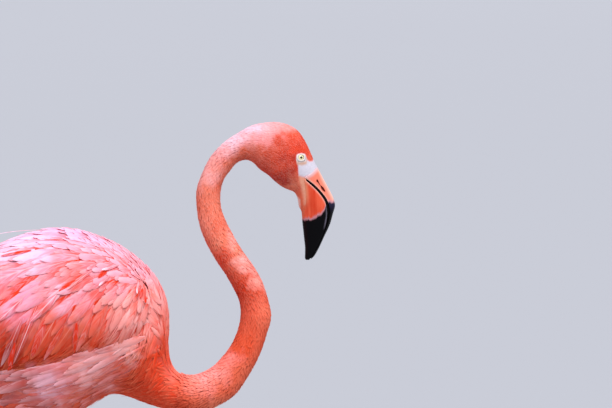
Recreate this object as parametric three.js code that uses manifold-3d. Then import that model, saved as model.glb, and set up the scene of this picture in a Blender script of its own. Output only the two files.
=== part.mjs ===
// American flamingo, adult, standing at rest with the neck in a relaxed S and the bill pointing down.
// Millimetres, +Z up. The bird faces +X, its left side is +Y, and its feet stand on z = 0.
// The solids are the outside of the plumage. The body, neck, head and bill are one long loft, parted by thin cuts.
import * as THREE from "three";
import { mergeVertices } from "three/addons/utils/BufferGeometryUtils.js";
import Module from "manifold-3d";

const wasm = await Module();
wasm.setup();

// Driving dimensions
const CUT = 0.3; // gap left between neighbouring pieces
const HALF_CUT = CUT / 2;
const EYE_RADIUS = 6.6;
const EYE_CENTRE = [165, 13.5, 918.8]; // right eye mirrored from the left one
const HIP_HEIGHT = 640;
const HIP_SPREAD = 41; // each hip's distance from the median plane
const FOOT_SPREAD = 38; // each foot's distance from the median plane
const STRIDE = 22; // each foot's distance ahead of, or behind, its hip
const FEATHER_EDGE = 522; // height at which the thigh feathers stop and bare leg starts
const ANKLE_TOP = 340;
const ANKLE_LOW = 298;
const FOOT_JOINT = 16;
const FOOT_YAW = 6; // degrees that each foot turns outwards
const TOES = { inner: { length: 66, turn: 27 }, middle: { length: 80, turn: 0 }, outer: { length: 70, turn: -27 } };
const TOE_RADIUS = 5;
const WEB_THICKNESS = 1.6;
const WEB_CLEARANCE = 0.4; // the webs arch this far off the ground between the toes
const CLAW_LENGTH = 7;

// Ribs of the long loft, from the rump to the bill's tip. Each is the top edge x, z, the under edge x, z and the half
// width, so a rib is an ellipse in a plane square to the median plane.
const TRUNK_RIBS = [
  [-418, 668, -412, 640, 20],
  [-400, 700, -392, 616, 38],
  [-365, 738, -352, 598, 57],
  [-320, 770, -308, 586, 72],
  [-272, 793, -262, 578, 82],
  [-225, 806, -220, 576, 88],
  [-180, 824, -184, 577, 90],
  [-130, 831, -138, 587, 89],
  [-80, 818, -104, 604, 84],
  [-46, 799, -88, 614, 77],
  [-20, 774, -77, 620, 70],
  [-4, 743, -66, 620, 62],
  [0, 712, -55, 617, 54],
  [-1, 688, -44, 613, 46],
  [1, 670, -32, 608, 39],
  [6, 657, -17, 603, 33],
  [16, 648, 1, 598, 28],
];
const NECK_RIBS = [
  [25, 646, 24, 595, 25],
  [38, 648, 46, 599, 23],
  [52, 655, 81, 618, 20],
  [64, 666, 99, 643, 19],
  [77, 683, 113, 669, 18],
  [85, 701, 122, 695, 17],
  [89, 721, 128, 719, 18],
  [87, 739, 124, 740, 16],
  [80, 754, 117, 762, 17],
  [71, 770, 106, 782, 17],
  [57, 791, 91, 803, 16],
  [46, 811, 79, 824, 16],
  [38, 832, 70, 842, 15],
  [34, 856, 65, 858, 14],
  [34, 878, 65, 876, 14],
  [41, 899, 69, 891, 14],
  [52, 920, 77, 902, 14],
  [69, 938, 86, 912, 15],
];
const HEAD_RIBS = [
  [89, 951, 98, 915, 17],
  [104, 959, 106, 911, 18],
  [118, 962, 114, 903, 20],
  [133, 963, 124, 896, 21],
  [148, 960, 135, 886, 22],
  [161, 952, 144, 880, 22],
  [170, 939, 151, 877, 20],
  [178, 922, 156, 875, 18],
  [186.3, 905, 160, 868, 15],
];
const BILL_RIBS = [
  [192.9, 892, 162, 857, 13.5],
  [199.9, 879, 165, 851, 13],
  [206, 866, 166, 843, 12.5],
  [207.6, 858, 167, 834, 12],
  [205, 848, 168, 825, 11.5],
  [201, 834, 169, 815, 10],
  [194, 819, 170, 806, 8.5],
  [187, 804, 170, 798, 6.5],
  [181, 794, 170, 792, 4.5],
  [176, 790, 171, 790, 2],
];
const LONG_LOFT = [...TRUNK_RIBS, ...NECK_RIBS, ...HEAD_RIBS, ...BILL_RIBS];
const NECK_START = TRUNK_RIBS.length;
const HEAD_START = NECK_START + NECK_RIBS.length;
const BILL_START = HEAD_START + HEAD_RIBS.length - 1;
const BILL_END = LONG_LOFT.length - 1;
const NECK_LENGTHS = ["base", "low", "bend", "middle", "upper", "nape"]; // from the breast up to the head

// Where the two halves of the bill meet, from the corner of the mouth to the tip, as x, z.
const MOUTH_LINE = [
  [160, 899],
  [176, 887.5],
  [190, 871.5],
  [197, 853],
  [195.5, 836],
  [187, 811],
  [173, 788],
  [170, 782],
];

// The other pieces' ribs hold a sixth number, the rib centre's distance from the median plane.
const WING_RIBS = [
  [-16, 742, -22, 716, 6, 50],
  [-34, 776, -44, 692, 26, 53],
  [-72, 808, -86, 668, 43, 53],
  [-128, 822, -142, 651, 51, 53],
  [-190, 815, -200, 638, 53, 52],
  [-250, 795, -262, 630, 51, 50],
  [-310, 769, -322, 625, 46, 46],
  [-370, 744, -380, 622, 38, 41],
  [-425, 706, -434, 623, 28, 35],
  [-475, 668, -480, 622, 18, 30],
  [-510, 638, -512, 624, 7, 26],
];
const PRIMARY_RIBS = [
  [-380, 656, -376, 624, 5, 52],
  [-425, 643, -420, 612, 5, 47],
  [-470, 629, -466, 602, 4.5, 41],
  [-506, 614, -504, 598, 3.5, 36],
  [-530, 601, -530, 596, 2, 33],
];
const TAIL_RIBS = [
  [-370, 664, -366, 634, 24, 0],
  [-400, 650, -394, 616, 29, 0],
  [-438, 631, -430, 604, 32, 0],
  [-476, 611, -469, 590, 34, 0],
  [-502, 597, -498, 585, 33, 0],
];

const curveOf = (points) => new THREE.CatmullRomCurve3(points, false, "centripetal");

// A closed loft through ribs from index `from` to index `to`, capped with flat ends. `grow` swells every rib.
function loft(ribs, { from = 0, to = ribs.length - 1, around = 20, between = 2, grow = 0 } = {}) {
  const last = ribs.length - 1;
  const topEdge = curveOf(ribs.map(([x, z, , , half]) => new THREE.Vector3(x, half, z)));
  const underEdge = curveOf(ribs.map(([, , x, z, , middle = 0]) => new THREE.Vector3(x, middle, z)));
  const stations = [from];
  for (let k = Math.floor(from * between) + 1; k / between < to; k++) {
    if (k / between - from > 0.1 && to - k / between > 0.1) stations.push(k / between);
  }
  stations.push(to);
  const positions = [];
  const indices = [];
  for (const station of stations) {
    const top = topEdge.getPoint(station / last);
    const under = underEdge.getPoint(station / last);
    const half = top.y + grow;
    const middle = under.y;
    const centre = new THREE.Vector3((top.x + under.x) / 2, middle, (top.z + under.z) / 2);
    const upward = new THREE.Vector3(top.x - under.x, 0, top.z - under.z).divideScalar(2);
    upward.addScaledVector(upward.clone().normalize(), grow);
    for (let i = 0; i < around; i++) {
      const angle = (i / around) * 2 * Math.PI;
      const point = centre.clone().addScaledVector(upward, Math.sin(angle));
      positions.push(point.x, point.y + half * Math.cos(angle), point.z);
    }
  }
  const rings = stations.length;
  for (let r = 0; r < rings - 1; r++) {
    for (let i = 0; i < around; i++) {
      const a = r * around + i;
      const b = r * around + ((i + 1) % around);
      indices.push(a, b, a + around, b, b + around, a + around);
    }
  }
  for (const [ring, flip] of [[0, false], [rings - 1, true]]) {
    const first = ring * around;
    for (let i = 1; i < around - 1; i++) {
      if (flip) indices.push(first, first + i, first + i + 1);
      else indices.push(first, first + i + 1, first + i);
    }
  }
  const geometry = new THREE.BufferGeometry();
  geometry.setAttribute("position", new THREE.Float32BufferAttribute(positions, 3));
  geometry.setIndex(indices);
  return geometry;
}

// Turns a closed geometry into a solid that can be joined and cut.
function solid(geometry) {
  const plain = geometry.clone();
  plain.deleteAttribute("normal");
  plain.deleteAttribute("uv");
  const merged = mergeVertices(plain, 1e-3);
  const made = new wasm.Manifold(
    new wasm.Mesh({
      numProp: 3,
      vertProperties: new Float32Array(merged.attributes.position.array),
      triVerts: new Uint32Array(merged.index.array),
    }),
  );
  if (made.volume() > 0) return made;
  const turned = merged.index.array.slice();
  for (let i = 0; i < turned.length; i += 3) [turned[i], turned[i + 1]] = [turned[i + 1], turned[i]];
  return new wasm.Manifold(
    new wasm.Mesh({
      numProp: 3,
      vertProperties: new Float32Array(merged.attributes.position.array),
      triVerts: new Uint32Array(turned),
    }),
  );
}

function geometryOf(made) {
  const mesh = made.getMesh();
  const geometry = new THREE.BufferGeometry();
  geometry.setAttribute("position", new THREE.Float32BufferAttribute(Array.from(mesh.vertProperties), 3));
  geometry.setIndex(Array.from(mesh.triVerts));
  geometry.computeVertexNormals();
  return geometry;
}

const FINISHES = {
  plumage: { color: 0xf08a78, roughness: 0.85 },
  pale_plumage: { color: 0xf6a79c, roughness: 0.85 },
  neck_plumage: { color: 0xea6a52, roughness: 0.85 },
  flight_feather: { color: 0x1c1a1c, roughness: 0.7 },
  bill_pink: { color: 0xe9795c, roughness: 0.45 },
  eye: { color: 0xe8dc9a, roughness: 0.1 },
  leg_skin: { color: 0xe39a94, roughness: 0.6 },
  claw: { color: 0x2b2425, roughness: 0.5 },
};
const bird = new THREE.Group();
const finishes = {};
for (const [name, look] of Object.entries(FINISHES)) {
  finishes[name] = new THREE.MeshStandardMaterial({ ...look, metalness: 0, name });
}

function add(name, made, finish) {
  const mesh = new THREE.Mesh(geometryOf(made), finishes[finish]);
  mesh.name = name;
  bird.add(mesh);
}

// A loft's ribs moved to one side of the bird: +1 is the left, -1 the right.
const onSide = (ribs, side) => ribs.map((rib) => [...rib.slice(0, 5), rib[5] * side]);

// How far along the long loft a cut's half width reaches on its tighter side.
function cutShare(index) {
  const [a, b] = [LONG_LOFT[index - 1], LONG_LOFT[index + 1]];
  const topStep = Math.hypot(b[0] - a[0], b[1] - a[1]) / 2;
  const underStep = Math.hypot(b[2] - a[2], b[3] - a[3]) / 2;
  return (1.2 * HALF_CUT) / Math.min(topStep, underStep);
}

// Trunk
const trunkEnd = NECK_START + 1;
const trunkRange = { from: 0, to: trunkEnd - cutShare(trunkEnd), around: 20 };
const trunk = solid(loft(LONG_LOFT, trunkRange));
const trunkGrown = solid(loft(LONG_LOFT, { ...trunkRange, grow: CUT }));
add("trunk", trunk, "plumage");

// Neck, in lengths of equal rib count
const neckSpan = (HEAD_START - trunkEnd) / NECK_LENGTHS.length;
NECK_LENGTHS.forEach((length, i) => {
  const start = trunkEnd + Math.round(i * neckSpan);
  const end = trunkEnd + Math.round((i + 1) * neckSpan);
  const range = { from: start + cutShare(start), to: end - cutShare(end), around: 16 };
  add(`neck_${length}`, solid(loft(LONG_LOFT, range)), "neck_plumage");
});

// Head, with a socket for each eye
const eyes = { left: 1, right: -1 };
const ball = (side, radius) => {
  const [x, y, z] = EYE_CENTRE;
  return solid(new THREE.SphereGeometry(radius, 10, 8).translate(x, y * side, z));
};
const headRange = { from: HEAD_START + cutShare(HEAD_START), to: BILL_START - cutShare(BILL_START) };
let head = solid(loft(LONG_LOFT, { ...headRange, around: 16 }));
for (const [name, side] of Object.entries(eyes)) {
  head = head.subtract(ball(side, EYE_RADIUS + CUT));
  add(`eye_${name}`, ball(side, EYE_RADIUS), "eye");
}
add("head", head, "neck_plumage");

// Bill, parted along the mouth line
const bill = solid(loft(LONG_LOFT, { from: BILL_START + cutShare(BILL_START), to: BILL_END, around: 16, between: 1 }));
function besideMouth(offset, farX) {
  const line = new THREE.SplineCurve(MOUTH_LINE.map(([x, z]) => new THREE.Vector2(x, z))).getPoints(14);
  const outline = line.map((point, i) => {
    const before = line[Math.max(i - 1, 0)];
    const after = line[Math.min(i + 1, line.length - 1)];
    const along = after.clone().sub(before).normalize();
    return new THREE.Vector2(point.x - along.y * offset, point.y + along.x * offset);
  });
  const low = outline[outline.length - 1];
  const high = outline[0];
  const shape = new THREE.Shape([...outline, new THREE.Vector2(farX, low.y - 20), new THREE.Vector2(farX, high.y + 60)]);
  const depth = 60;
  const block = new THREE.ExtrudeGeometry(shape, { depth, bevelEnabled: false, curveSegments: 1 });
  return solid(block.rotateX(Math.PI / 2).translate(0, depth / 2, 0));
}
add("bill_upper", bill.intersect(besideMouth(HALF_CUT, 260)), "bill_pink");
add("bill_lower", bill.intersect(besideMouth(-HALF_CUT, 90)), "bill_pink");

// Folded wings, flight feathers and tail, each cut back from what lies under it
const wingLoft = (side, grow) => solid(loft(onSide(WING_RIBS, side), { around: 16, between: 1, grow }));
const sides = { left: 1, right: -1 };
const wingsGrown = wingLoft(1, CUT).add(wingLoft(-1, CUT));
let tail = solid(loft(TAIL_RIBS, { around: 12, between: 1 }));
tail = tail.subtract(trunkGrown).subtract(wingsGrown);
add("tail", tail, "pale_plumage");
const tailGrown = solid(loft(TAIL_RIBS, { around: 12, between: 1, grow: CUT }));
for (const [name, side] of Object.entries(sides)) {
  add(`wing_${name}`, wingLoft(side, 0).subtract(trunkGrown), "pale_plumage");
  const primaries = solid(loft(onSide(PRIMARY_RIBS, side), { around: 8 }));
  const clear = primaries.subtract(trunkGrown).subtract(wingLoft(side, CUT)).subtract(tailGrown);
  add(`primaries_${name}`, clear, "flight_feather");
}

// Legs. A leg rib is level: its centre x, height, half length and half width.
const LEG_LINE = [
  [HIP_HEIGHT, -196],
  [FEATHER_EDGE, -212],
  [(ANKLE_TOP + ANKLE_LOW) / 2, -230],
  [FOOT_JOINT, -221],
]; // height and x of the leg's middle line
function legX(height, stride) {
  const i = LEG_LINE.findIndex(([z], k) => k > 0 && height >= z);
  const [z0, x0] = LEG_LINE[i < 0 ? LEG_LINE.length - 2 : i - 1];
  const [z1, x1] = LEG_LINE[i < 0 ? LEG_LINE.length - 1 : i];
  const x = x0 + ((x1 - x0) * (height - z0)) / (z1 - z0);
  return x + stride * (1 - height / HIP_HEIGHT);
}
const legY = (height) => FOOT_SPREAD + ((HIP_SPREAD - FOOT_SPREAD) * height) / HIP_HEIGHT;
const THIGH_FORM = [
  [628, 46, 26],
  [596, 40, 25],
  [572, 30, 22],
  [548, 19, 16.5],
  [532, 12.5, 11.5],
  [FEATHER_EDGE + HALF_CUT, 9.5, 9],
];
const TIBIA_FORM = [
  [FEATHER_EDGE - HALF_CUT, 7.6, 6.8],
  [480, 7, 6.2],
  [400, 6.3, 5.6],
  [360, 6.8, 6],
  [ANKLE_TOP + HALF_CUT, 7.8, 6.8],
];
const ANKLE_FORM = [
  [ANKLE_TOP - HALF_CUT, 7.8, 6.8],
  [331, 9.8, 8.4],
  [318, 11.4, 9.4],
  [308, 9.8, 8.4],
  [ANKLE_LOW + HALF_CUT, 7.2, 6.6],
];
const TARSUS_FORM = [
  [ANKLE_LOW - HALF_CUT, 7.2, 6.6],
  [270, 6, 5.4],
  [160, 5.6, 5],
  [50, 5.8, 5.2],
  [FOOT_JOINT + HALF_CUT, 6.6, 6.4],
];
const legSection = (form, side, stride, around) =>
  solid(
    loft(
      form.map(([z, rx, ry]) => {
        const x = legX(z, stride);
        return [x + rx, z, x - rx, z, ry, legY(z) * side];
      }),
      { around, between: 2 },
    ),
  );

// One toe along +X, its underside cut flat on the ground, with a swelling at each joint
const TOE_FORM = [
  [0, 1.15],
  [0.3, 0.84],
  [0.37, 0.95],
  [0.44, 0.8],
  [0.64, 0.74],
  [0.7, 0.84],
  [0.77, 0.68],
  [0.93, 0.62],
  [1, 0.5],
]; // share of the toe's length, share of the toe radius
const TOE_LIFT = 0.72; // the middle line's height as a share of the radius
const toeRibs = (length) =>
  TOE_FORM.map(([share, thick]) => {
    const radius = thick * TOE_RADIUS;
    const x = share * length;
    return [x, radius * (TOE_LIFT + 1), x, radius * (TOE_LIFT - 1), radius * 1.1, 0];
  });
const aboveGround = () => {
  const size = 400;
  return solid(new THREE.BoxGeometry(size, size, size).translate(0, 0, size / 2));
};
const turned = (geometry, degrees) => geometry.rotateZ(THREE.MathUtils.degToRad(degrees));

function web(toeA, toeB) {
  const reach = 0.95;
  const tip = ({ length, turn }, share) => {
    const angle = THREE.MathUtils.degToRad(turn);
    return new THREE.Vector2(Math.cos(angle), Math.sin(angle)).multiplyScalar(length * share);
  };
  const hollow = { length: (toeA.length + toeB.length) / 2, turn: (toeA.turn + toeB.turn) / 2 };
  const [start, end, middle] = [tip(toeA, reach), tip(toeB, reach), tip(hollow, 0.72)];
  const shape = new THREE.Shape();
  shape.moveTo(0, 0);
  shape.lineTo(start.x, start.y);
  shape.quadraticCurveTo(middle.x, middle.y, end.x, end.y);
  shape.closePath();
  const sheet = new THREE.ExtrudeGeometry(shape, { depth: WEB_THICKNESS, bevelEnabled: false, curveSegments: 6 });
  return solid(sheet.translate(0, 0, WEB_CLEARANCE));
}
const HEEL_RIBS = [
  [6.6, FOOT_JOINT - HALF_CUT, -6.6, FOOT_JOINT - HALF_CUT, 6.4, 0],
  [8, 9, -7.6, 9, 7.6, 0],
  [9.5, 3, -8.4, 3, 8.8, 0],
  [9.5, -1, -8.4, -1, 8.8, 0],
];
const HIND_TOE_RIBS = [
  [-3, 14, -4, 7, 3.2, 0],
  [-10, 11.2, -12, 5.4, 2.9, 0],
  [-17, 7.6, -18, 2.8, 2.2, 0],
];
const clawRibs = (x, height, radius, drop) => [
  [x, height + radius, x, height - radius, radius, 0],
  [x + CLAW_LENGTH / 2, height + radius * 0.7, x + CLAW_LENGTH / 2, height - radius, radius * 0.75, 0],
  [x + CLAW_LENGTH, height - drop + 0.4, x + CLAW_LENGTH, height - drop - 0.3, 0.5, 0],
];

for (const [name, side] of Object.entries(sides)) {
  const stride = -side * STRIDE; // the right foot is the leading one
  const thigh = legSection(THIGH_FORM, side, stride, 16);
  add(`thigh_${name}`, thigh.subtract(trunkGrown).subtract(wingLoft(side, CUT)), "plumage");
  add(`tibia_${name}`, legSection(TIBIA_FORM, side, stride, 8), "leg_skin");
  add(`ankle_${name}`, legSection(ANKLE_FORM, side, stride, 8), "leg_skin");
  add(`tarsus_${name}`, legSection(TARSUS_FORM, side, stride, 8), "leg_skin");

  let foot = solid(loft(HEEL_RIBS, { around: 8, between: 1 })).add(solid(loft(HIND_TOE_RIBS, { around: 8, between: 1 })));
  const claws = {};
  const clawHeight = 2.3;
  for (const [toe, { length, turn }] of Object.entries(TOES)) {
    const turnOut = turn * side * -1; // the inner toe lies towards the other foot
    foot = foot.add(solid(turned(loft(toeRibs(length), { around: 8, between: 1 }), turnOut)));
    const claw = loft(clawRibs(length + CUT, clawHeight, 2, 1.2), { around: 6, between: 1 });
    claws[toe] = solid(turned(claw, turnOut));
  }
  const spread = Object.values(TOES).map(({ length, turn }) => ({ length, turn: -turn * side }));
  foot = foot.add(web(spread[0], spread[1])).add(web(spread[1], spread[2])).intersect(aboveGround());
  claws.hind = solid(loft(clawRibs(18 + CUT, 4.4, 1.7, 1.6), { around: 6, between: 1 }).rotateZ(Math.PI));

  const place = (made) => {
    const turn = FOOT_YAW * side;
    return made.rotate([0, 0, turn]).translate([legX(FOOT_JOINT, stride), legY(FOOT_JOINT) * side, 0]);
  };
  add(`foot_${name}`, place(foot), "leg_skin");
  for (const [toe, claw] of Object.entries(claws)) add(`claw_${name}_${toe}`, place(claw), "claw");
}

// The frame's origin is on the ground under the middle of the bird's box.
const box = new THREE.Box3().setFromObject(bird);
bird.position.set(-(box.min.x + box.max.x) / 2, -(box.min.y + box.max.y) / 2, -box.min.z);

export default bird;
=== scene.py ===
import math

import bmesh
import bpy
import numpy as np
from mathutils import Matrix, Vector
from mathutils.bvhtree import BVHTree
from mathutils.kdtree import KDTree


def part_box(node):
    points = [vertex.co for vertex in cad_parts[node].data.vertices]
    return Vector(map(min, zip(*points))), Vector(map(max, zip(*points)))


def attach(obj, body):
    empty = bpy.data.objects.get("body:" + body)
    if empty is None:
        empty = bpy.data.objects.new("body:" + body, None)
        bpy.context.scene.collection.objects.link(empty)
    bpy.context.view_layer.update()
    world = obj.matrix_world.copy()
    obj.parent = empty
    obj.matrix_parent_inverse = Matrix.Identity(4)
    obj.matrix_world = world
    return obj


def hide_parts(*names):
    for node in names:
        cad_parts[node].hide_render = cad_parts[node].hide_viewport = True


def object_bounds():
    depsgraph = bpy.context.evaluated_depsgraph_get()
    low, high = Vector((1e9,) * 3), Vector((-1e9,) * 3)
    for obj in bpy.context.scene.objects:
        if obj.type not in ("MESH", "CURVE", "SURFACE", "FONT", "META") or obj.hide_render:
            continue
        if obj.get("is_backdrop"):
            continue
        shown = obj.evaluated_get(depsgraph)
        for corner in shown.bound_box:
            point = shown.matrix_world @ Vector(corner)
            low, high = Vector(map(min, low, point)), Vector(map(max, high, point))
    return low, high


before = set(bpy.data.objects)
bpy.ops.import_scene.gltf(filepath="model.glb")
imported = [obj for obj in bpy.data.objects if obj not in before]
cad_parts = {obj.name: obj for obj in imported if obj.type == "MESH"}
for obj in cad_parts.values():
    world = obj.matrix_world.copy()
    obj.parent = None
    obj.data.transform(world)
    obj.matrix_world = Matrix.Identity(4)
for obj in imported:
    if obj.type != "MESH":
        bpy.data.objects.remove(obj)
cad_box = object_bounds()


# Studio
# The bird stands on a plain pale floor that runs to the horizon. A broad soft sun high beside the camera
# lights it, with an even pale sky and a weak low fill. The camera sees its right side from a little above.
def linear(colour):
    """An sRGB hex colour as linear red, green, blue and alpha."""
    parts = [int(colour[i : i + 2], 16) / 255 for i in (0, 2, 4)]
    return [c / 12.92 if c <= 0.04045 else ((c + 0.055) / 1.055) ** 2.4 for c in parts] + [1.0]


def put(tree, kind, inputs, stops=(), out=None, **settings):
    """Adds a shader node with its settings, a ramp's stops, and its inputs as values, hex colours or links.

    Returns the output named by out, or else the first one in use.
    """
    made = tree.nodes.new("ShaderNode" + kind)
    for name, value in settings.items():
        setattr(made, name, value)
    for name, value in inputs.items():
        if isinstance(value, bpy.types.NodeSocket):
            tree.links.new(value, made.inputs[name])
        else:
            made.inputs[name].default_value = linear(value) if isinstance(value, str) else value
    for i, (place, colour) in enumerate(stops):
        stop = made.color_ramp.elements[i] if i < 2 else made.color_ramp.elements.new(place)
        stop.position = place
        stop.color = linear(colour)
    return made.outputs[out] if out else next(socket for socket in made.outputs if socket.enabled)


def finish(name, **values):
    """A material, its node tree and its one Principled shader, with the values of that shader's sockets."""
    made = bpy.data.materials.new(name)
    made.use_nodes = True
    shader = made.node_tree.nodes["Principled BSDF"]
    for socket, value in values.items():
        shader.inputs[socket.replace("_", " ")].default_value = value
    return made, made.node_tree, shader


def lamp(name, place, target, colour, energy, spread):
    """A soft distant lamp that faces a point, as wide as spread, in radians."""
    light = bpy.data.lights.new(name, "SUN")
    light.energy = energy
    light.color = linear(colour)[:3]
    light.angle = spread
    holder = bpy.data.objects.new(name, light)
    holder.location = place
    holder.rotation_euler = (Vector(target) - Vector(place)).to_track_quat("-Z", "Y").to_euler()
    bpy.context.collection.objects.link(holder)


EYES_X = sum(corner[0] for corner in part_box("eye_left")) / 2
SHIFT = EYES_X - 0.165  # the frame's x at the breast's front, from where the bird's own x counts
BREAST = (SHIFT - 0.1, 0.0, 0.75)
lamp("lamp_overhead", (0.6, -1.35, 3.2), BREAST, "f4f4ff", 4.1, 0.9)
lamp("lamp_camera_side", (1.2, -3.2, 1.2), BREAST, "fff0e6", 0.2, 1.2)
world = bpy.data.worlds.new("studio_air")
bpy.context.scene.world = world
world.use_nodes = True
sky = world.node_tree.nodes["Background"].inputs
sky["Color"].default_value = linear("eff1ff")
sky["Strength"].default_value = 0.5

floor_mesh = bpy.data.meshes.new("studio_floor")
REACH = 90.0  # metres, so that the floor fills the picture behind the bird
floor_corners = [(-REACH, -REACH, 0), (REACH, -REACH, 0), (REACH, REACH, 0), (-REACH, REACH, 0)]
floor_mesh.from_pydata(floor_corners, [], [(0, 1, 2, 3)])
floor = bpy.data.objects.new("studio_floor", floor_mesh)
bpy.context.collection.objects.link(floor)
# Matt emulsion paint, rolled on: it scatters light evenly, so the floor shows soft shadows and no shine.
floor_paint, tree, shader = finish("studio_paint", Roughness=0.9)
grain = put(tree, "TexNoise", {"Scale": 3.0, "Detail": 4.0})
shade = put(tree, "ValToRGB", {0: grain}, [(0.3, "a9abac"), (0.7, "aeb0b1")])
tree.links.new(shade, shader.inputs["Base Color"])
floor_mesh.materials.append(floor_paint)
floor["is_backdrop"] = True

CAMERA_DISTANCE = 6.0
CAMERA_RISE = math.radians(4.0)
CAMERA_AIM = (SHIFT + 0.17125, 0.860)  # x and z of the picture's middle, on the bird's own middle plane
lens = bpy.data.cameras.new("camera")
lens.lens = 282.0
lens.sensor_width = 36.0
lens.clip_end = 300.0
camera = bpy.data.objects.new("camera", lens)
back, above = CAMERA_DISTANCE * math.cos(CAMERA_RISE), CAMERA_DISTANCE * math.sin(CAMERA_RISE)
camera.location = (CAMERA_AIM[0], -back, CAMERA_AIM[1] + above)
camera.rotation_euler = (math.pi / 2 - CAMERA_RISE, 0.0, 0.0)
bpy.context.collection.objects.link(camera)
bpy.context.scene.camera = camera
bpy.context.scene.view_settings.view_transform = "Standard"  # plain colours, with no film curve


# Skin
# One skin covers the body, neck, head, folded wings, legs and feet, a few millimetres inside the plumage. It
# is lofted through ribs, each a top edge x, z, an under edge x, z, a half width and a middle y, in
# millimetres before SHIFT.
TRUNK_RIBS = [
    [-418, 668, -412, 640, 20], [-400, 700, -392, 616, 38], [-365, 738, -352, 598, 57],
    [-320, 770, -308, 586, 72], [-272, 793, -262, 578, 82], [-225, 806, -220, 576, 88],
    [-180, 824, -184, 577, 90], [-130, 831, -138, 587, 89], [-80, 818, -104, 604, 84],
    [-46, 799, -88, 614, 77], [-20, 774, -77, 620, 70], [-4, 743, -66, 620, 62], [0, 712, -55, 617, 54],
    [-1, 688, -44, 613, 46], [1, 670, -32, 608, 39], [6, 657, -17, 603, 33], [16, 648, 1, 598, 28],
]
NECK_RIBS = [
    [25, 646, 24, 595, 25], [38, 648, 46, 599, 23], [52, 655, 81, 618, 20], [64, 666, 99, 643, 19],
    [77, 683, 113, 669, 18], [85, 701, 122, 695, 17], [89, 721, 128, 719, 18], [87, 739, 124, 740, 16],
    [80, 754, 117, 762, 17], [71, 770, 106, 782, 17], [57, 791, 91, 803, 16], [46, 811, 79, 824, 16],
    [38, 832, 70, 842, 15], [34, 856, 65, 858, 14], [34, 878, 65, 876, 14], [41, 899, 69, 891, 14],
    [52, 920, 77, 902, 14], [69, 938, 86, 912, 15],
]
HEAD_RIBS = [
    [89, 951, 98, 915, 17], [104, 959, 106, 911, 18], [118, 962, 114, 903, 20], [133, 963, 124, 896, 21],
    [148, 960, 135, 886, 22], [161, 952, 144, 880, 22], [170, 939, 151, 877, 20], [178, 922, 156, 875, 18],
    [186.3, 905, 160, 868, 15],
]
BILL_RIBS = [
    [192.9, 892, 162, 857, 13.5], [199.9, 879, 165, 851, 13], [206, 866, 166, 843, 12.5],
    [207.6, 858, 167, 834, 12], [205, 848, 168, 825, 11.5], [201, 834, 169, 815, 10],
    [194, 819, 170, 806, 8.5], [187, 804, 170, 798, 6.5], [181, 794, 170, 792, 4.5], [176, 790, 171, 790, 2],
]
BODY_RIBS = TRUNK_RIBS + NECK_RIBS + HEAD_RIBS + BILL_RIBS
NECK_START = len(TRUNK_RIBS)
HEAD_START = NECK_START + len(NECK_RIBS)
BILL_START = HEAD_START + len(HEAD_RIBS) - 1
SIDES = {"left": 1, "right": -1}


def to_frame(points):
    """Millimetres on the bird to metres in the frame."""
    return np.asarray(points, float) / 1000 + [SHIFT, 0, 0]


def spline(points, at):
    """A centripetal Catmull-Rom curve at places counted in points from 0."""
    points = np.asarray(points, float)
    at = np.asarray(at, float)
    held = np.vstack([2 * points[0] - points[1], points, 2 * points[-1] - points[-2]])
    first = np.clip(np.floor(at).astype(int), 0, len(points) - 2)
    w = (at - first)[:, None]
    a, b, c, d = (held[first + k] for k in range(4))
    ab, bc, cd = (np.linalg.norm(q - p, axis=1)[:, None] ** 0.5 for p, q in ((a, b), (b, c), (c, d)))
    leave = ((b - a) / ab - (c - a) / (ab + bc) + (c - b) / bc) * bc
    arrive = ((c - b) / bc - (d - b) / (bc + cd) + (d - c) / cd) * bc
    return b + leave * w + (3 * (c - b) - 2 * leave - arrive) * w**2 + (2 * (b - c) + leave + arrive) * w**3


def loft(ribs, at, around, depth=0.0):
    """Rings of a loft through ribs, drawn in by depth, one at each place counted in ribs: ring, turn, xyz."""
    table = np.array([list(rib) + [0.0] * (6 - len(rib)) for rib in ribs], float)
    top = spline(table[:, [0, 4, 1]], at)
    under = spline(table[:, [2, 5, 3]], at)
    half, middle = top[:, 1].copy(), under[:, 1].copy()
    top[:, 1] = under[:, 1] = middle
    upward = (top - under) / 2
    reach = np.linalg.norm(upward, axis=1)
    drawn = np.broadcast_to(depth, reach.shape)
    upward *= (np.maximum(reach - drawn, 0.3 * reach) / reach)[:, None]
    half = np.maximum(half - drawn, 0.3 * half)
    angle = np.arange(around) / around * 2 * math.pi
    rings = ((top + under) / 2)[:, None] + upward[:, None] * np.sin(angle)[None, :, None]
    rings[:, :, 1] += half[:, None] * np.cos(angle)
    return rings


def piece(name, points, faces, slot=None):
    """An object from points in mm. With a slot, it's a piece of the bird that rides on its one body."""
    mesh = bpy.data.meshes.new(name)
    if isinstance(faces, np.ndarray):
        mesh.vertices.add(len(points))
        mesh.vertices.foreach_set("co", to_frame(points).astype(np.float32).ravel())
        mesh.loops.add(faces.size)
        mesh.loops.foreach_set("vertex_index", faces.astype(np.int32).ravel())
        mesh.polygons.add(len(faces))
        mesh.polygons.foreach_set("loop_start", np.arange(0, faces.size, faces.shape[1], dtype=np.int32))
    else:
        mesh.from_pydata(to_frame(points).tolist(), [], faces)
    mesh.update()
    made = bpy.data.objects.new(name, mesh)
    bpy.context.collection.objects.link(made)
    if slot:
        mesh.shade_smooth()
        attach(made, "root")
    return made


def outward(made):
    """Turns the faces of a closed piece to point out."""
    shape = bmesh.new()
    shape.from_mesh(made.data)
    bmesh.ops.recalc_face_normals(shape, faces=shape.faces)
    shape.to_mesh(made.data)
    shape.free()
    return made


def ring_faces(count, around):
    """Faces between rings of points, from each ring to the next."""
    one = np.arange(around)
    quads = np.stack([one, (one + 1) % around, (one + 1) % around + around, one + around], 1)
    return (quads[None] + np.arange(count - 1)[:, None, None] * around).reshape(-1, 4)


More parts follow.
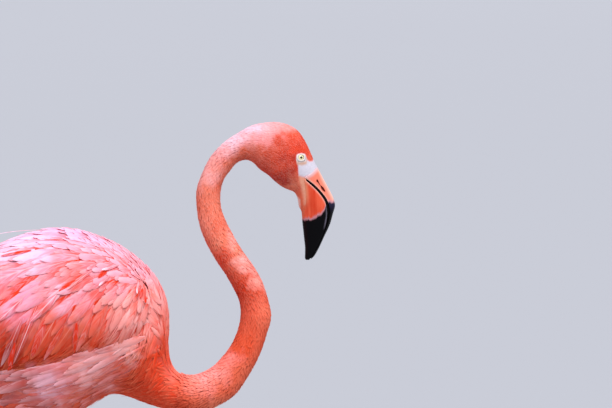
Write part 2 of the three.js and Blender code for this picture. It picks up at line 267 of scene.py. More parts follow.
def closed(name, rings, slot=None):
    """A closed object through rings of points, with a flat cap at each end."""
    count, around = rings.shape[:2]
    faces = ring_faces(count, around).tolist()
    faces.append(list(range(around))[::-1])
    faces.append(list(range((count - 1) * around, count * around)))
    return outward(piece(name, rings.reshape(-1, 3), faces, slot))


def join_solids(target, others, operation="UNION"):
    """Joins other closed objects to the target, or cuts them from it, and removes them."""
    for other in others:
        step = target.modifiers.new("step", "BOOLEAN")
        step.operation = operation
        step.solver = "MANIFOLD"
        step.object = other
    made = bpy.data.meshes.new_from_object(target.evaluated_get(bpy.context.evaluated_depsgraph_get()))
    made.materials.clear()
    target.modifiers.clear()
    target.data = made
    for other in others:
        bpy.data.objects.remove(other)


# How deep the plumage is over the skin, in mm: body, neck, head and bare face.
COAT_STATIONS = [NECK_START, NECK_START + 3, HEAD_START - 1, HEAD_START + 2, BILL_START - 2, BILL_START - 0.5]
COAT_DEPTHS = [3.6, 1.7, 1.7, 1.2, 1.0, 0.4]
AROUND = 112
stations = np.concatenate([
    np.linspace(0, NECK_START, 70, endpoint=False),
    np.linspace(NECK_START, HEAD_START, 120, endpoint=False),
    np.linspace(HEAD_START, BILL_START + 4, 170),
])
coat_depth = np.interp(stations, COAT_STATIONS, COAT_DEPTHS)
body_rings = loft(BODY_RIBS, stations, AROUND, coat_depth)
skin = closed("skin", body_rings)

# Folded wings lie against the trunk like pads.
WING_RIBS = [
    [-16, 742, -22, 716, 6, 50], [-34, 776, -44, 692, 26, 53], [-72, 808, -86, 668, 43, 53],
    [-128, 822, -142, 651, 51, 53], [-190, 815, -200, 638, 53, 52], [-250, 795, -262, 630, 51, 50],
    [-310, 769, -322, 625, 46, 46], [-370, 744, -380, 622, 38, 41], [-425, 706, -434, 623, 28, 35],
    [-475, 668, -480, 622, 18, 30], [-510, 638, -512, 624, 7, 26],
]
TAIL_RIBS = [
    [-370, 664, -366, 634, 24, 0], [-400, 650, -394, 616, 29, 0], [-438, 631, -430, 604, 32, 0],
]
WING_COAT = 4.6
TAIL_COAT = 8.0
wing_rings = {}
limbs = []
for side, sign in SIDES.items():
    ribs = [rib[:5] + [rib[5] * sign] for rib in WING_RIBS]
    wing_rings[side] = loft(ribs, np.linspace(0.4, 9.3, 64), 56, WING_COAT)
    limbs.append(closed(f"wing_{side}_pad", wing_rings[side]))
limbs.append(closed("tail_pad", loft(TAIL_RIBS, np.linspace(0, 1.9, 12), 28, TAIL_COAT)))

# Legs. Each rib is level: height, half length and half width. Below the feathers the shank is plated with
# scutes, 5.2 mm tall, with a groove between them, and those round the sides stand half a scute higher.
HIP_HEIGHT = 640
HIP_SPREAD = 41
FOOT_SPREAD = 38
STRIDE = 22  # each foot's distance ahead of, or behind, its hip: the right foot leads
LEG_LINE = [[16, -221], [319, -230], [522, -212], [640, -196]]
LEG_FORM = [
    [628, 43, 23], [596, 37, 22], [572, 27, 19], [548, 16, 13.5], [532, 10, 9], [522, 8, 7.2],
    [505, 7.3, 6.5], [480, 7, 6.2], [400, 6.3, 5.6], [360, 6.8, 6], [340, 7.8, 6.8], [331, 9.8, 8.4],
    [318, 11.4, 9.4], [308, 9.8, 8.4], [298, 7.2, 6.6], [270, 6, 5.4], [160, 5.6, 5], [50, 5.8, 5.2],
    [16, 6.6, 6.4], [8, 7.6, 7.2], [1.5, 8.4, 8.0],
]
SCUTE = 5.2
SCUTE_ROWS = [0.0, 0.5, 1.1, 4.1, 4.8]  # heights of rings in a scute, crowded at its groove
SCUTES_END = 515
SIDE_SEAM = 0.6  # where front scutes meet those round the sides, as the sine of the turn round the leg
GROOVE = 0.45  # half a groove's width in mm
LEG_AROUND = 28
SOLE = 1.5
FEATHER_EDGE = 522  # where the thigh's feathers end and the bare shank starts


def leg_x(height, sign):
    """The middle of a leg at a height, seen from the side."""
    return np.interp(height, *np.transpose(LEG_LINE)) - sign * STRIDE * (1 - height / HIP_HEIGHT)


def leg_y(height):
    """The middle of the left leg at a height, seen from the front."""
    return FOOT_SPREAD + (HIP_SPREAD - FOOT_SPREAD) * height / HIP_HEIGHT


leg_rings = {}
for side, sign in SIDES.items():
    ribs = [[leg_x(z, sign) + rx, z, leg_x(z, sign) - rx, z, ry, leg_y(z) * sign] for z, rx, ry in LEG_FORM]
    heights = np.array(LEG_FORM)[::-1, 0]
    plates = np.arange(SOLE, SCUTES_END, SCUTE)[:, None] + SCUTE_ROWS
    wanted = np.concatenate([plates.ravel(), np.linspace(SCUTES_END + 3, heights[-1], 20)])[::-1]
    rings = loft(ribs, np.interp(wanted, heights, np.arange(len(heights))[::-1]), LEG_AROUND)
    bare = np.clip((FEATHER_EDGE + 8 - wanted) / 15, 0, 1)[:, None]
    front = np.abs(np.sin(np.arange(LEG_AROUND) / LEG_AROUND * 2 * math.pi))[None]
    phase = ((wanted[:, None] - SOLE) / SCUTE + np.where(front > SIDE_SEAM, 0.0, 0.5)) % 1.0
    groove = np.exp(-((np.minimum(phase, 1 - phase) * SCUTE / GROOVE) ** 2))
    seam = np.exp(-(((front - SIDE_SEAM) / 0.12) ** 2))
    centre = rings.mean(axis=1, keepdims=True)
    rings = centre + (rings - centre) * (1 - bare * 0.05 * np.maximum(groove, seam))[..., None]
    leg_rings[side] = rings
    limbs.append(closed(f"leg_{side}", rings))

# Feet: three front toes joined by webs and a small raised hind toe. Toe undersides are flat where they
# stand. Each toe has a length and a turn from straight ahead. Its form gives the radius, as shares of both.
TOES = {"inner": (66, 27), "middle": (80, 0), "outer": (70, -27)}
TOE_FORM = [
    [0, 1.15], [0.3, 0.84], [0.37, 0.95], [0.44, 0.8], [0.64, 0.74], [0.7, 0.84], [0.77, 0.68], [0.93, 0.62],
    [1, 0.5],
]
TOE_RADIUS = 5.0
TOE_SCUTE = 3.2
TOE_SCUTE_ROWS = [0.0, 0.4, 1.6, 2.8]
TOE_AROUND = 24
FOOT_YAW = 6  # how far each foot turns outwards, in degrees
HEEL_RIBS = [
    [6.6, 15.85, -6.6, 15.85, 6.4, 0], [8, 9, -7.6, 9, 7.6, 0], [9.5, 3, -8.4, 3, 8.8, 0],
    [9.5, 0.1, -8.4, 0.1, 8.8, 0],
]
HIND_TOE_RIBS = [
    [-3, 14, -4, 7, 3.2, 0], [-10, 11.2, -12, 5.4, 2.9, 0], [-17, 7.6, -18, 2.8, 2.2, 0],
    [-18.4, 6.9, -19, 3.4, 1.6, 0],
]


def on_foot(points, degrees, sign):
    """Turns points about the ankle and sets them where a foot stands."""
    angle = math.radians(degrees + FOOT_YAW * sign)
    x, y, z = np.moveaxis(points, -1, 0)
    cos, sin = math.cos(angle), math.sin(angle)
    turned = np.stack([x * cos - y * sin, x * sin + y * cos, z], -1)
    return turned + [leg_x(16, sign), leg_y(16) * sign, 0]


def web_rings(toe_a, toe_b):
    """A web between two toes: flat rings from the ankle outwards, a hollow front edge and shallow folds."""
    (length_a, turn_a), (length_b, turn_b) = toe_a, toe_b
    share = np.linspace(0, 1, 22)
    middle = ((length_a + length_b) / 2, (turn_a + turn_b) / 2, 0.72)
    edge = []
    for length, turn, reach in ((length_a, turn_a, 0.95), middle, (length_b, turn_b, 0.95)):
        way = math.radians(turn)
        edge.append([math.cos(way) * length * reach, math.sin(way) * length * reach])
    edge = np.array(edge)
    w = share[:, None]
    rim = edge[0] * (1 - w) ** 2 + edge[1] * 2 * w * (1 - w) + edge[2] * w**2
    rings = []
    for out in np.linspace(0.06, 1, 20):
        flat = rim * out
        fold = 0.35 * np.sin(share * math.pi * 5) * math.sin(math.pi * out) + 0.5 * (1 - out)
        upper = np.column_stack([flat, 1.9 + fold])
        lower = np.column_stack([flat, 0.5 + 0.4 * fold])[::-1]
        rings.append(np.vstack([upper, lower]))
    return np.array(rings)


for side, sign in SIDES.items():
    parts = {
        "heel": (loft(HEEL_RIBS, np.linspace(0, 3, 12), 28), 0),
        "hind_toe": (loft(HIND_TOE_RIBS, np.linspace(0, 3, 20), 20), 0),
    }
    for toe, (length, turn) in TOES.items():
        plates = np.arange(0, length, TOE_SCUTE)[:, None] + TOE_SCUTE_ROWS
        along = np.append(plates.ravel()[plates.ravel() < length], length) / length
        form = np.interp(along, *np.array(TOE_FORM).T) * TOE_RADIUS
        phase = (along * length / TOE_SCUTE) % 1.0
        groove = np.exp(-((np.minimum(phase, 1 - phase) * TOE_SCUTE / 0.4) ** 2))
        turns = np.arange(TOE_AROUND) / TOE_AROUND * 2 * math.pi
        rise = np.sin(turns)
        scale = 1 - 0.09 * groove[:, None] * np.clip(rise + 0.3, 0, 1)  # grooved above only
        ring = np.empty((len(along), TOE_AROUND, 3))
        ring[..., 0] = (along * length)[:, None]
        ring[..., 1] = form[:, None] * 1.1 * np.cos(turns) * scale
        ring[..., 2] = np.maximum(form[:, None] * (0.72 + rise * scale), 0.0)
        parts[toe] = (ring, -turn * sign)
    for toe_a, toe_b in (("inner", "middle"), ("middle", "outer")):
        spread = [(TOES[toe][0], -TOES[toe][1] * sign) for toe in (toe_a, toe_b)]
        parts[f"web_{toe_a}"] = (web_rings(*spread), 0)
    for part, (rings, turn) in parts.items():
        limbs.append(closed(f"{part}_{side}", on_foot(rings, turn, sign)))
join_solids(skin, limbs)


# The bill's base, where bare skin gives way to horn, as x, z seen from the side.
BILL_BASE = [
    [204, 922], [184.4, 905], [177, 898.6], [168.6, 893.9], [170.6, 880], [171.3, 865], [169.5, 850],
    [168.4, 842], [150, 838],
]


def slab(name, outline, half=60.0):
    """A closed slab across the bird from an outline in x, z."""
    outline = np.asarray(outline, float)
    count = len(outline)
    points = [[x, y, z] for y in (-half, half) for x, z in outline]
    faces = [list(range(count)), list(range(2 * count - 1, count - 1, -1))]
    faces += [[i + count, (i + 1) % count + count, (i + 1) % count, i] for i in range(count)]
    return outward(piece(name, points, faces))


UNDER_HORN = np.array([2.6, -1.6])  # how far the skin runs on beneath the horn
PAST_BILL = [[150, 780], [300, 780], [300, 922]]
join_solids(skin, [slab("bill_room", np.array(BILL_BASE + PAST_BILL) + UNDER_HORN)], "DIFFERENCE")

# Each eye looks straight out of the face, in a socket behind a low raised ring of lid skin.
EYE = np.array([165.0, 0.0, 919.4])
EYE_RADIUS = 6.6
EYE_DEPTH = 5.8  # from the face's surface in to the eye's centre
LID_PROFILE = [
    [6.6, -4.5], [6.6, -1.6], [6.1, 0.2], [5.3, 0.9], [4.5, 1.1], [4.0, 0.9], [3.75, 0.4], [3.8, -0.2],
    [4.2, -1.4], [4.8, -3.4],
]  # distance from the eye's axis, and out from the face


def ball(radius, rings=24, around=32):
    """Rings of a ball about the origin, from pole to pole along Y."""
    polar = np.linspace(0.02, math.pi - 0.02, rings)
    turn = np.arange(around) / around * 2 * math.pi
    ring = np.empty((rings, around, 3))
    ring[..., 0] = radius * np.sin(polar)[:, None] * np.cos(turn)
    ring[..., 1] = radius * np.cos(polar)[:, None]
    ring[..., 2] = radius * np.sin(polar)[:, None] * np.sin(turn)
    return ring


def eye_seat(face, sign):
    """Where an eye's axis leaves the face, and the ways its x, y and z point, y straight out of the face."""
    hits = []
    for x, z in ((0, 0), (5, 0), (-5, 0), (0, 5), (0, -5)):
        start = to_frame(EYE + [x, 60 * sign, z])
        hits.append(face.ray_cast(Vector(start), Vector((0, -sign, 0)))[:2])
    out = sum((normal for _, normal in hits), Vector((0, sign, 0))).normalized()
    along = (Vector((1, 0, 0)) - out * out.x).normalized()
    upward = out.cross(along) * (1 if out.cross(along).z > 0 else -1)
    seat = (np.array(hits[0][0]) - [SHIFT, 0, 0]) * 1000
    return seat, np.array([along, out, upward])


face = BVHTree.FromObject(skin, bpy.context.evaluated_depsgraph_get())
eye_seats = {side: eye_seat(face, sign) for side, sign in SIDES.items()}
lid_profile = spline(LID_PROFILE + LID_PROFILE[:1], np.linspace(0, len(LID_PROFILE), 40, endpoint=False))
lid_turn = np.arange(96) / 96 * 2 * math.pi
for seat, ways in eye_seats.values():
    socket = (ball(EYE_RADIUS + 0.15) - [0, EYE_DEPTH, 0]) @ ways + seat
    join_solids(skin, [closed("socket", socket)], "DIFFERENCE")
    r, out = lid_profile[:, :1], lid_profile[:, 1:]
    pinch = 1 - 0.16 * np.abs(np.sin(lid_turn)) ** 2
    crease = 0.16 * np.sin(22 * lid_turn + 2 * np.sin(3 * lid_turn)) * np.clip(r - 4.7, 0, 1)
    rim = np.stack([r * np.cos(lid_turn), out + crease, r * pinch * np.sin(lid_turn)], -1) @ ways + seat
    points = rim.reshape(-1, 3)
    faces = ring_faces(len(rim) + 1, len(lid_turn)) % len(points)
    join_solids(skin, [outward(piece("lid", points, faces))])
skin.data.shade_smooth()
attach(skin, "root")
FLESH = ["trunk", "head"] + [f"neck_{part}" for part in ("base", "low", "bend", "middle", "upper", "nape")]
for part in ("wing", "thigh", "tibia", "ankle", "tarsus", "foot"):
    FLESH += [f"{part}_{side}" for side in SIDES]
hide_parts(*FLESH)

# Bare face skin is white in front of the eye and flesh pink down the bill's base; the chin's is orange. Each
# patch has its edge's softness in mm, two colours and an outline in x, z, and lies over those before it.
BARE = {
    "chin": (4.0, "d4502e", "e67550", [
        [165.6, 878.8], [159, 873.5], [150, 871], [150, 838], [176, 838], [176, 857], [168.6, 860],
        [168, 868.8],
    ]),
    # Along the chin's lower edge, a painted highlight.
    "chin_painted_highlight": (3.0, "f4c2b2", "fadace", [
        [150, 872], [158, 872], [163.5, 866], [164, 856], [162, 850], [150, 850],
    ]),
    "stripe": (4.0, "df8762", "f0ad90", [
        [162.3, 896.8], [162.8, 890.5], [165.6, 878.8], [168, 868.8], [168.6, 860], [176, 857], [176, 877.5],
        [175, 886.8], [172, 894.6], [168.6, 894.8], [165, 895.8],
    ]),
    "lore": (2.0, "bcb7bd", "d8d2d9", [
        [161.2, 910.6], [161.6, 902.5], [162.3, 896.8], [165, 895.8], [168.6, 894.8], [177, 897.4],
        [180.4, 899.8], [183.3, 904.4], [192, 905.5], [192, 922], [182, 920], [179.4, 914.2], [175.6, 914],
        [172.2, 916.6], [170.9, 921.6], [169.2, 923.6], [165, 924.2], [160.6, 923.2], [159.4, 917.5],
        [160.2, 912],
    ]),
    "lid": (1.2, "cfc4bc", "e9dfd4", [
        [159.2, 915.4], [159.4, 921.8], [160.8, 923.4], [165, 924.2], [169, 923.6], [170.4, 921.6],
        [170.4, 915.4], [168.8, 914.2], [165, 913.8], [160.6, 914.2],
    ]),
    "under_eye": (2.2, "b98b70", "cfa68e", [
        [159, 915], [160.5, 910.5], [166, 909.5], [172, 911], [173, 919], [171, 914.5], [164, 913.4],
    ]),
}


def depth_inside(places, outline):
    """How far each x, z place is inside an outline, in mm; negative outside."""
    start = np.asarray(outline, float)
    run = np.roll(start, -1, axis=0) - start
    to = places[:, None] - start[None]
    share = np.clip((to * run).sum(-1) / (run**2).sum(-1), 0, 1)
    gap = np.linalg.norm(to - run * share[..., None], axis=-1).min(axis=1)
    low, high = to[..., 1] >= 0, to[..., 1] < run[..., 1]
    left = run[..., 0] * to[..., 1] - run[..., 1] * to[..., 0]
    crossings = (low & high & (left > 0)).astype(int) - (~low & ~high & (left < 0)).astype(int)
    return np.where(crossings.sum(axis=1) != 0, gap, -gap)


def note(made, name, values):
    """Stores one number or one vector for each vertex of a piece, for its material to read."""
    values = np.asarray(values, np.float32)
    kind, field = ("FLOAT_VECTOR", "vector") if values.ndim == 2 else ("FLOAT", "value")
    made.data.attributes.new(name, kind, "POINT").data.foreach_set(field, values.ravel())


def places_of(made):
    """A piece's vertices in mm on the bird."""
    found = np.empty(len(made.data.vertices) * 3, np.float32)
    made.data.vertices.foreach_get("co", found)
    return (found.reshape(-1, 3) - [SHIFT, 0, 0]) * 1000


skin_places = places_of(skin)
for patch, (softness, _, _, outline) in BARE.items():
    within = depth_inside(skin_places[:, [0, 2]], outline) / softness + 0.5
    note(skin, patch, np.clip(within, 0, 1) * (skin_places[:, 0] > 150))

# Where the plumage is paler or deeper, seen from the side: x and z of each place in metres, how far round it
# the colour is full, where it ends, and the colour. Many pale ones, on the back and shoulder, along the
# neck's upper and left edges, on the nape and on the crown, are painted highlights where light from above
# falls, and the deep ones low at the belly's rear are painted shade.
TRUNK_TINTS_AND_PAINTED_LIGHT = [
    (-0.185, 0.8, 0.02, 0.05, "ffc4de"), (-0.185, 0.745, 0.015, 0.045, "f79cb2"),
    (-0.125, 0.748, 0.012, 0.034, "ffb4c6"), (-0.116, 0.776, 0.004, 0.022, "f47c78"),
    (-0.035, 0.73, 0.01, 0.055, "ffb2aa"), (-0.05, 0.79, 0.01, 0.05, "f8a2b0"),
    (-0.114, 0.706, 0.006, 0.03, "d65840"), (-0.196, 0.672, 0.022, 0.055, "ac2610"),
    (-0.15, 0.718, 0.005, 0.025, "dc5a46"), (-0.148, 0.64, 0.01, 0.034, "f0a8b4"),
    (-0.095, 0.657, 0.014, 0.04, "f0a09c"), (-0.055, 0.682, 0.008, 0.024, "f4a49c"),
    (-0.2, 0.596, 0.02, 0.055, "a83c34"), (-0.158, 0.6, 0.008, 0.03, "b8483e"),
    (-0.02, 0.61, 0.02, 0.06, "d43c20"),
]
NECK_TINTS_AND_PAINTED_LIGHT = [
    (0.085, 0.75, 0.005, 0.055, "cf3416"), (0.07, 0.789, 0.004, 0.024, "da3818"),
    (0.102, 0.785, 0.003, 0.018, "ffaea4"), (0.113, 0.76, 0.003, 0.018, "ff9c8c"),
    (0.083, 0.814, 0.003, 0.017, "ff9c8c"), (0.09, 0.685, 0.01, 0.05, "de4e2e"),
    (0.028, 0.83, 0.004, 0.03, "f78c72"), (0.04, 0.656, 0.01, 0.04, "ff9a92"),
    (0.006, 0.652, 0.006, 0.026, "ff9c8c"), (0.015, 0.6, 0.008, 0.04, "d04428"),
    (0.032, 0.905, 0.008, 0.034, "ffb4b0"), (0.066, 0.94, 0.006, 0.032, "ffcad2"),
    (0.08, 0.668, 0.003, 0.022, "ff8c80"), (0.1, 0.99, 0.026, 0.068, "ffe4f8"),
]
HEAD_TINTS_AND_PAINTED_LIGHT = [
    (0.125, 0.885, 0.01, 0.06, "c42408"), (0.158, 0.93, 0.008, 0.045, "e23a14"),
    (0.137, 0.978, 0.006, 0.036, "ffbcb6"), (0.142, 0.892, 0.004, 0.02, "b42410"),
    (0.122, 0.946, 0.004, 0.022, "fc9a98"), (0.15, 0.957, 0.003, 0.012, "ff9e96"),
    (0.146, 0.93, 0.003, 0.014, "d03c22"), (0.157, 0.887, 0.004, 0.017, "ee8060"),
    (0.1565, 0.915, 0.002, 0.012, "b8240e"),
]


def markings(tree, place):
    """The plumage's colour at a place on the bird, the same for the skin and for every feather."""
    z = put(tree, "SeparateXYZ", {0: place}, out="Z")
    broad = put(tree, "TexNoise", {"Vector": place, "Scale": 22.0, "Detail": 2.0})
    sway = put(tree, "MapRange", {0: broad, 1: 0.3, 2: 0.7, 3: -0.03, 4: 0.03})
    height = put(tree, "Math", {0: z, 1: sway}, operation="ADD")
    # Paler and pinker upwards: partly the plumage's own colour, partly painted light falling from above.
    level = put(tree, "MapRange", {0: height, 1: 0.6, 2: 0.85})
    body = put(tree, "ValToRGB", {0: level}, [
        (0.0, "dc5236"), (0.28, "dc3e1e"), (0.5, "ec6a52"), (0.72, "ff98a4"), (0.95, "f8b0d0"),
    ])

    # The tints' edges wander by up to 25 mm.
    wander = put(tree, "TexNoise", {"Vector": place, "Scale": 45.0, "Detail": 2.0}, out="Color")
    wander = {0: wander, 1: (0.05, 0.0, 0.05), 2: (-0.025, 0.0, -0.025)}
    wander = put(tree, "VectorMath", wander, operation="MULTIPLY_ADD")
    flat = put(tree, "VectorMath", {0: place, 1: (1.0, 0.0, 1.0), 2: wander}, operation="MULTIPLY_ADD")

    def tinted(under, tints):
        """A colour with tints laid over it, each over those before it."""
        for x, z, full, end, colour in tints:
            gap = put(tree, "VectorMath", {0: flat, 1: (x + SHIFT, 0.0, z)}, operation="DISTANCE")
            share = put(tree, "MapRange", {0: gap, 1: full, 2: end, 3: 1.0, 4: 0.0})
            under = put(tree, "Mix", {0: share, 6: under, 7: colour}, data_type="RGBA")
        return under

    mottle = put(tree, "MapRange", {0: broad, 1: 0.35, 2: 0.65})
    coral = put(tree, "Mix", {0: mottle, 6: "e76244", 7: "f27e60"}, data_type="RGBA")
    x = put(tree, "SeparateXYZ", {0: place}, out="X")
    forward = put(tree, "MapRange", {0: x, 1: SHIFT - 0.012, 2: SHIFT + 0.03})
    whole = {0: forward, 6: tinted(body, TRUNK_TINTS_AND_PAINTED_LIGHT), 7: tinted(coral, NECK_TINTS_AND_PAINTED_LIGHT)}
    return tinted(put(tree, "Mix", whole, data_type="RGBA"), HEAD_TINTS_AND_PAINTED_LIGHT)


# Bird skin under feathers is soft and dull. The bare shanks are plated with waxy scutes that shine a little;
# they are rose pink, and redder at the ankle.
ANKLE = 0.318
skin_finish, tree, shader = finish("bird_skin", Roughness=0.62, Specular_IOR_Level=0.35)
where = put(tree, "TexCoord", {}, out="Object")
# Under the plumage the skin is a deeper red: painted shade for the gaps between feathers.
under = put(tree, "Mix", {0: 0.35, 6: markings(tree, where), 7: "cc4430"}, data_type="RGBA")
height = put(tree, "SeparateXYZ", {0: where}, out="Z")
fine = put(tree, "TexNoise", {"Vector": where, "Scale": 420.0, "Detail": 3.0})
leg = put(tree, "ValToRGB", {0: fine}, [(0.35, "d98482"), (0.65, "eaa59d")])
gap = put(tree, "Math", {0: height, 1: ANKLE}, operation="SUBTRACT")
gap = put(tree, "Math", {0: gap}, operation="ABSOLUTE")
red = put(tree, "MapRange", {0: gap, 1: 0.008, 2: 0.05, 3: 0.75, 4: 0.0})
leg = put(tree, "Mix", {0: red, 6: leg, 7: "d4605a"}, data_type="RGBA")
covered = put(tree, "MapRange", {0: height, 1: FEATHER_EDGE / 1000 - 0.01, 2: FEATHER_EDGE / 1000 + 0.008})
colour = put(tree, "Mix", {0: covered, 6: leg, 7: under}, data_type="RGBA")
for patch, (_, dull, bright, _) in BARE.items():
    shade = put(tree, "Mix", {0: fine, 6: dull, 7: bright}, data_type="RGBA")
    share = put(tree, "Attribute", {}, out="Fac", attribute_name=patch)
    colour = put(tree, "Mix", {0: share, 6: colour, 7: shade}, data_type="RGBA")
tree.links.new(colour, shader.inputs["Base Color"])
wrinkle = put(tree, "TexNoise", {"Vector": where, "Scale": 900.0, "Detail": 2.0})
bump = put(tree, "Bump", {"Height": wrinkle, "Strength": 0.35, "Distance": 0.0004})
tree.links.new(bump, shader.inputs["Normal"])
skin.data.materials.append(skin_finish)


# Bill
# Two jaws of smooth horn over bone, bent down in the middle: a deep lower trough and a narrower upper. They
# meet along a dark gap, lined inside, and the upper holds a slit nostril each side.
MOUTH = [
    [158, 901.5], [168.6, 893.7], [180, 884.4], [189, 875.1], [196, 865.2], [198.6, 857], [199, 847.5],
    [197.6, 838], [194, 825], [187.5, 810], [180.5, 797.5], [172, 784],
]
MOUTH_GAPS = [0.5, 0.9, 1.5, 1.6, 1.8, 1.9, 1.6, 1.2, 0.8, 0.6, 0.5, 0.5]  # half the gap at each point
JAW_ROOMS = {"upper": (1, [[260, 784], [260, 960], [158, 960]]), "lower": (-1, [[120, 784], [120, 900.5]])}
BLACK_EDGE = [
    [150, 840.8], [171.8, 840.8], [178.5, 840.3], [183.3, 844.1], [190.5, 847.5], [194.8, 853.3],
    [197.1, 864.5], [206, 861.5], [215, 860],
]
mouth_at = np.linspace(0, len(MOUTH) - 1, 90)
mouth = spline(MOUTH, mouth_at)
gaps = np.interp(mouth_at, range(len(MOUTH)), MOUTH_GAPS)
run = np.gradient(mouth, axis=0)
across = np.column_stack([-run[:, 1], run[:, 0]]) / np.linalg.norm(run, axis=1)[:, None]
bill_at = np.linspace(BILL_START - 2.2, len(BODY_RIBS) - 1, 190)
jaws = {}
for jaw, (sign, far) in JAW_ROOMS.items():
    made = closed(f"bill_{jaw}_horn", loft(BODY_RIBS, bill_at, 96), "bill")
    edge = mouth + across * (gaps * sign)[:, None]
    join_solids(made, [slab("jaw_room", np.vstack([edge, far]))], "INTERSECT")
    join_solids(made, [slab("bill_room", BILL_BASE + PAST_BILL)], "INTERSECT")
    jaws[jaw] = made

# The nostril: a slit that opens into a wider hole at its front end. Its cutter is slanted across the slit.
NOSTRIL = [[185.2, 890.2], [187.3, 886.8], [189.5, 883.6], [191.7, 880.6], [193.6, 878.0], [194.8, 876.4]]
NOSTRIL_RADIUS = [1.1, 0.2, 0.15, 1.2, 1.1, 0.4]
upper_tree = BVHTree.FromObject(jaws["upper"], bpy.context.evaluated_depsgraph_get())
cutters = []
for sign in SIDES.values():
    ribs = []
    for (x, z), radius in zip(NOSTRIL, NOSTRIL_RADIUS):
        start = Vector(to_frame([x, 60.0 * sign, z]))
        side_y = upper_tree.ray_cast(start, Vector((0, -sign, 0)))[0].y * 1000
        ribs.append([x + 0.81 * radius, z + 0.58 * radius, x - 0.81 * radius, z - 0.58 * radius, 1.3, side_y])
    cutters.append(closed("nostril", loft(ribs, np.linspace(0, len(ribs) - 1, 30), 16)))
join_solids(jaws["upper"], cutters, "DIFFERENCE")
lining_at = np.linspace(BILL_START - 1.6, len(BODY_RIBS) - 1.6, 120)
lining = closed("mouth_lining", loft(BODY_RIBS, lining_at, 64, 1.5), "bill")
join_solids(lining, [slab("bill_room", BILL_BASE + PAST_BILL)], "INTERSECT")

# Horn, worn smooth by use: a broad soft shine and faint fibres along it, drawn about 4 mm wide. It is coral
# below and rosier above, pale at the base and the lips, and turns black through a ragged lilac edge.
horn, tree, shader = finish("bill_horn", Roughness=0.36, Specular_IOR_Level=0.08)
where = put(tree, "TexCoord", {}, out="Object")
stretched = put(tree, "VectorMath", {0: where, 1: (500.0, 260.0, 70.0)}, operation="MULTIPLY")
streak = put(tree, "TexNoise", {"Vector": stretched, "Scale": 1.0, "Detail": 3.0})
soft = put(tree, "TexNoise", {"Vector": stretched, "Scale": 0.4, "Detail": 3.0})
rise, upper, lip_and_ridge_highlight, cere, rim, hollow = (
    put(tree, "Attribute", {}, out="Fac", attribute_name=name)
    for name in ("above_black", "culmen", "lip_and_ridge_highlight", "cere", "jaw_edge", "hollow")
)
jag = put(tree, "MapRange", {0: streak, 1: 0.3, 2: 0.7, 3: -1.7, 4: 1.7})
edge = put(tree, "Math", {0: rise, 1: jag}, operation="ADD")
lilac = put(tree, "MapRange", {0: edge, 1: 4.2, 2: 0.8, 3: 0.0, 4: 0.85})
dark = put(tree, "MapRange", {0: edge, 1: 1.0, 2: -1.6, 3: 0.0, 4: 1.0})
# The upper jaw's black turns violet towards its edge: a painted reflection.
reflection_reach = put(tree, "MapRange", {0: edge, 1: -14.0, 2: -1.0, 3: 0.0, 4: 0.9})
painted_reflection = put(tree, "Math", {0: reflection_reach, 1: upper}, operation="MULTIPLY")
black = put(tree, "Mix", {0: painted_reflection, 6: "040305", 7: "2c2942"}, data_type="RGBA")
# The lower jaw's black turns pale grey along the mouth.
worn = put(tree, "Mix", {0: rim, 6: black, 7: "8d8594"}, data_type="RGBA")
base = put(tree, "Mix", {0: upper, 6: "e08a66", 7: "d8c6cc"}, data_type="RGBA")
colour = put(tree, "ValToRGB", {0: soft}, [(0.25, "cc3a1e"), (0.75, "e86444")])
for share, tone in (
    (upper, "ee866c"), (lip_and_ridge_highlight, "f6cdb9"), (cere, base), (lilac, "b98a92"), (dark, worn), (hollow, "641408")
):
    colour = put(tree, "Mix", {0: share, 6: colour, 7: tone}, data_type="RGBA")
tree.links.new(colour, shader.inputs["Base Color"])
bump = put(tree, "Bump", {"Height": streak, "Strength": 0.25, "Distance": 0.0003})
tree.links.new(bump, shader.inputs["Normal"])
for jaw, made in jaws.items():
    places = places_of(made)
    flat = places[:, [0, 2]]
    is_upper = jaw == "upper"
    note(made, "above_black", places[:, 2] - np.interp(places[:, 0], *np.transpose(BLACK_EDGE)))
    note(made, "culmen", np.full(len(places), 0.8 * is_upper))
    to_mouth = np.linalg.norm(flat[:, None] - mouth[None], axis=-1).min(axis=1)
    # Along the upper jaw's ridge, a painted highlight, kept with the pale lips.
    painted_ridge_highlight = np.clip(1.1 - np.abs(places[:, 1]) / 7, 0, 0.7) * is_upper
    note(made, "lip_and_ridge_highlight", np.maximum(np.clip((3.4 - to_mouth) / 1.8, 0, 1) * 0.55, painted_ridge_highlight))
    pale_jaw_edge = np.clip((3.2 - to_mouth) / 1.6, 0, 1) * np.clip((places[:, 2] - 828) / 16, 0, 0.6)
    note(made, "jaw_edge", pale_jaw_edge * (not is_upper))
    slit_gaps = np.linalg.norm(flat[:, None] - spline(NOSTRIL, np.linspace(0, 5, 41))[None], axis=-1)
    slit_half = np.interp(slit_gaps.argmin(axis=1) / 8, range(6), NOSTRIL_RADIUS)
    # Round the nostril's slit the horn is dark red: painted shade of its hollow.
    note(made, "hollow", np.clip((slit_half + 0.45 - slit_gaps.min(axis=1)) / 0.5, 0, 1) * is_upper)
    base_line = spline(BILL_BASE[1:8], np.linspace(0, 6, 60))
    to_base = np.linalg.norm(flat[:, None] - base_line[None], axis=-1).min(axis=1)
    base_width, base_part = (5.0, 1.0) if is_upper else (4.0, np.clip((places[:, 2] - 852) / 20, 0, 1))
    note(made, "cere", np.clip(1.05 - to_base / base_width, 0, 1) * base_part)
    made.data.materials.append(horn)
    made.data.shade_smooth()
    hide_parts(f"bill_{jaw}")

# Moist skin with low ridges across the gap, painted nearly black as shade deep in the gap, and with no shine.
dark_lining, tree, shader = finish("mouth_lining", Roughness=0.6, Specular_IOR_Level=0.1)
where = put(tree, "TexCoord", {}, out="Object")
ridges = put(tree, "TexWave", {"Vector": where, "Scale": 260.0}, out="Fac")
shade = put(tree, "ValToRGB", {0: ridges}, [(0.2, "020101"), (0.8, "060304")])
tree.links.new(shade, shader.inputs["Base Color"])
lining.data.materials.append(dark_lining)


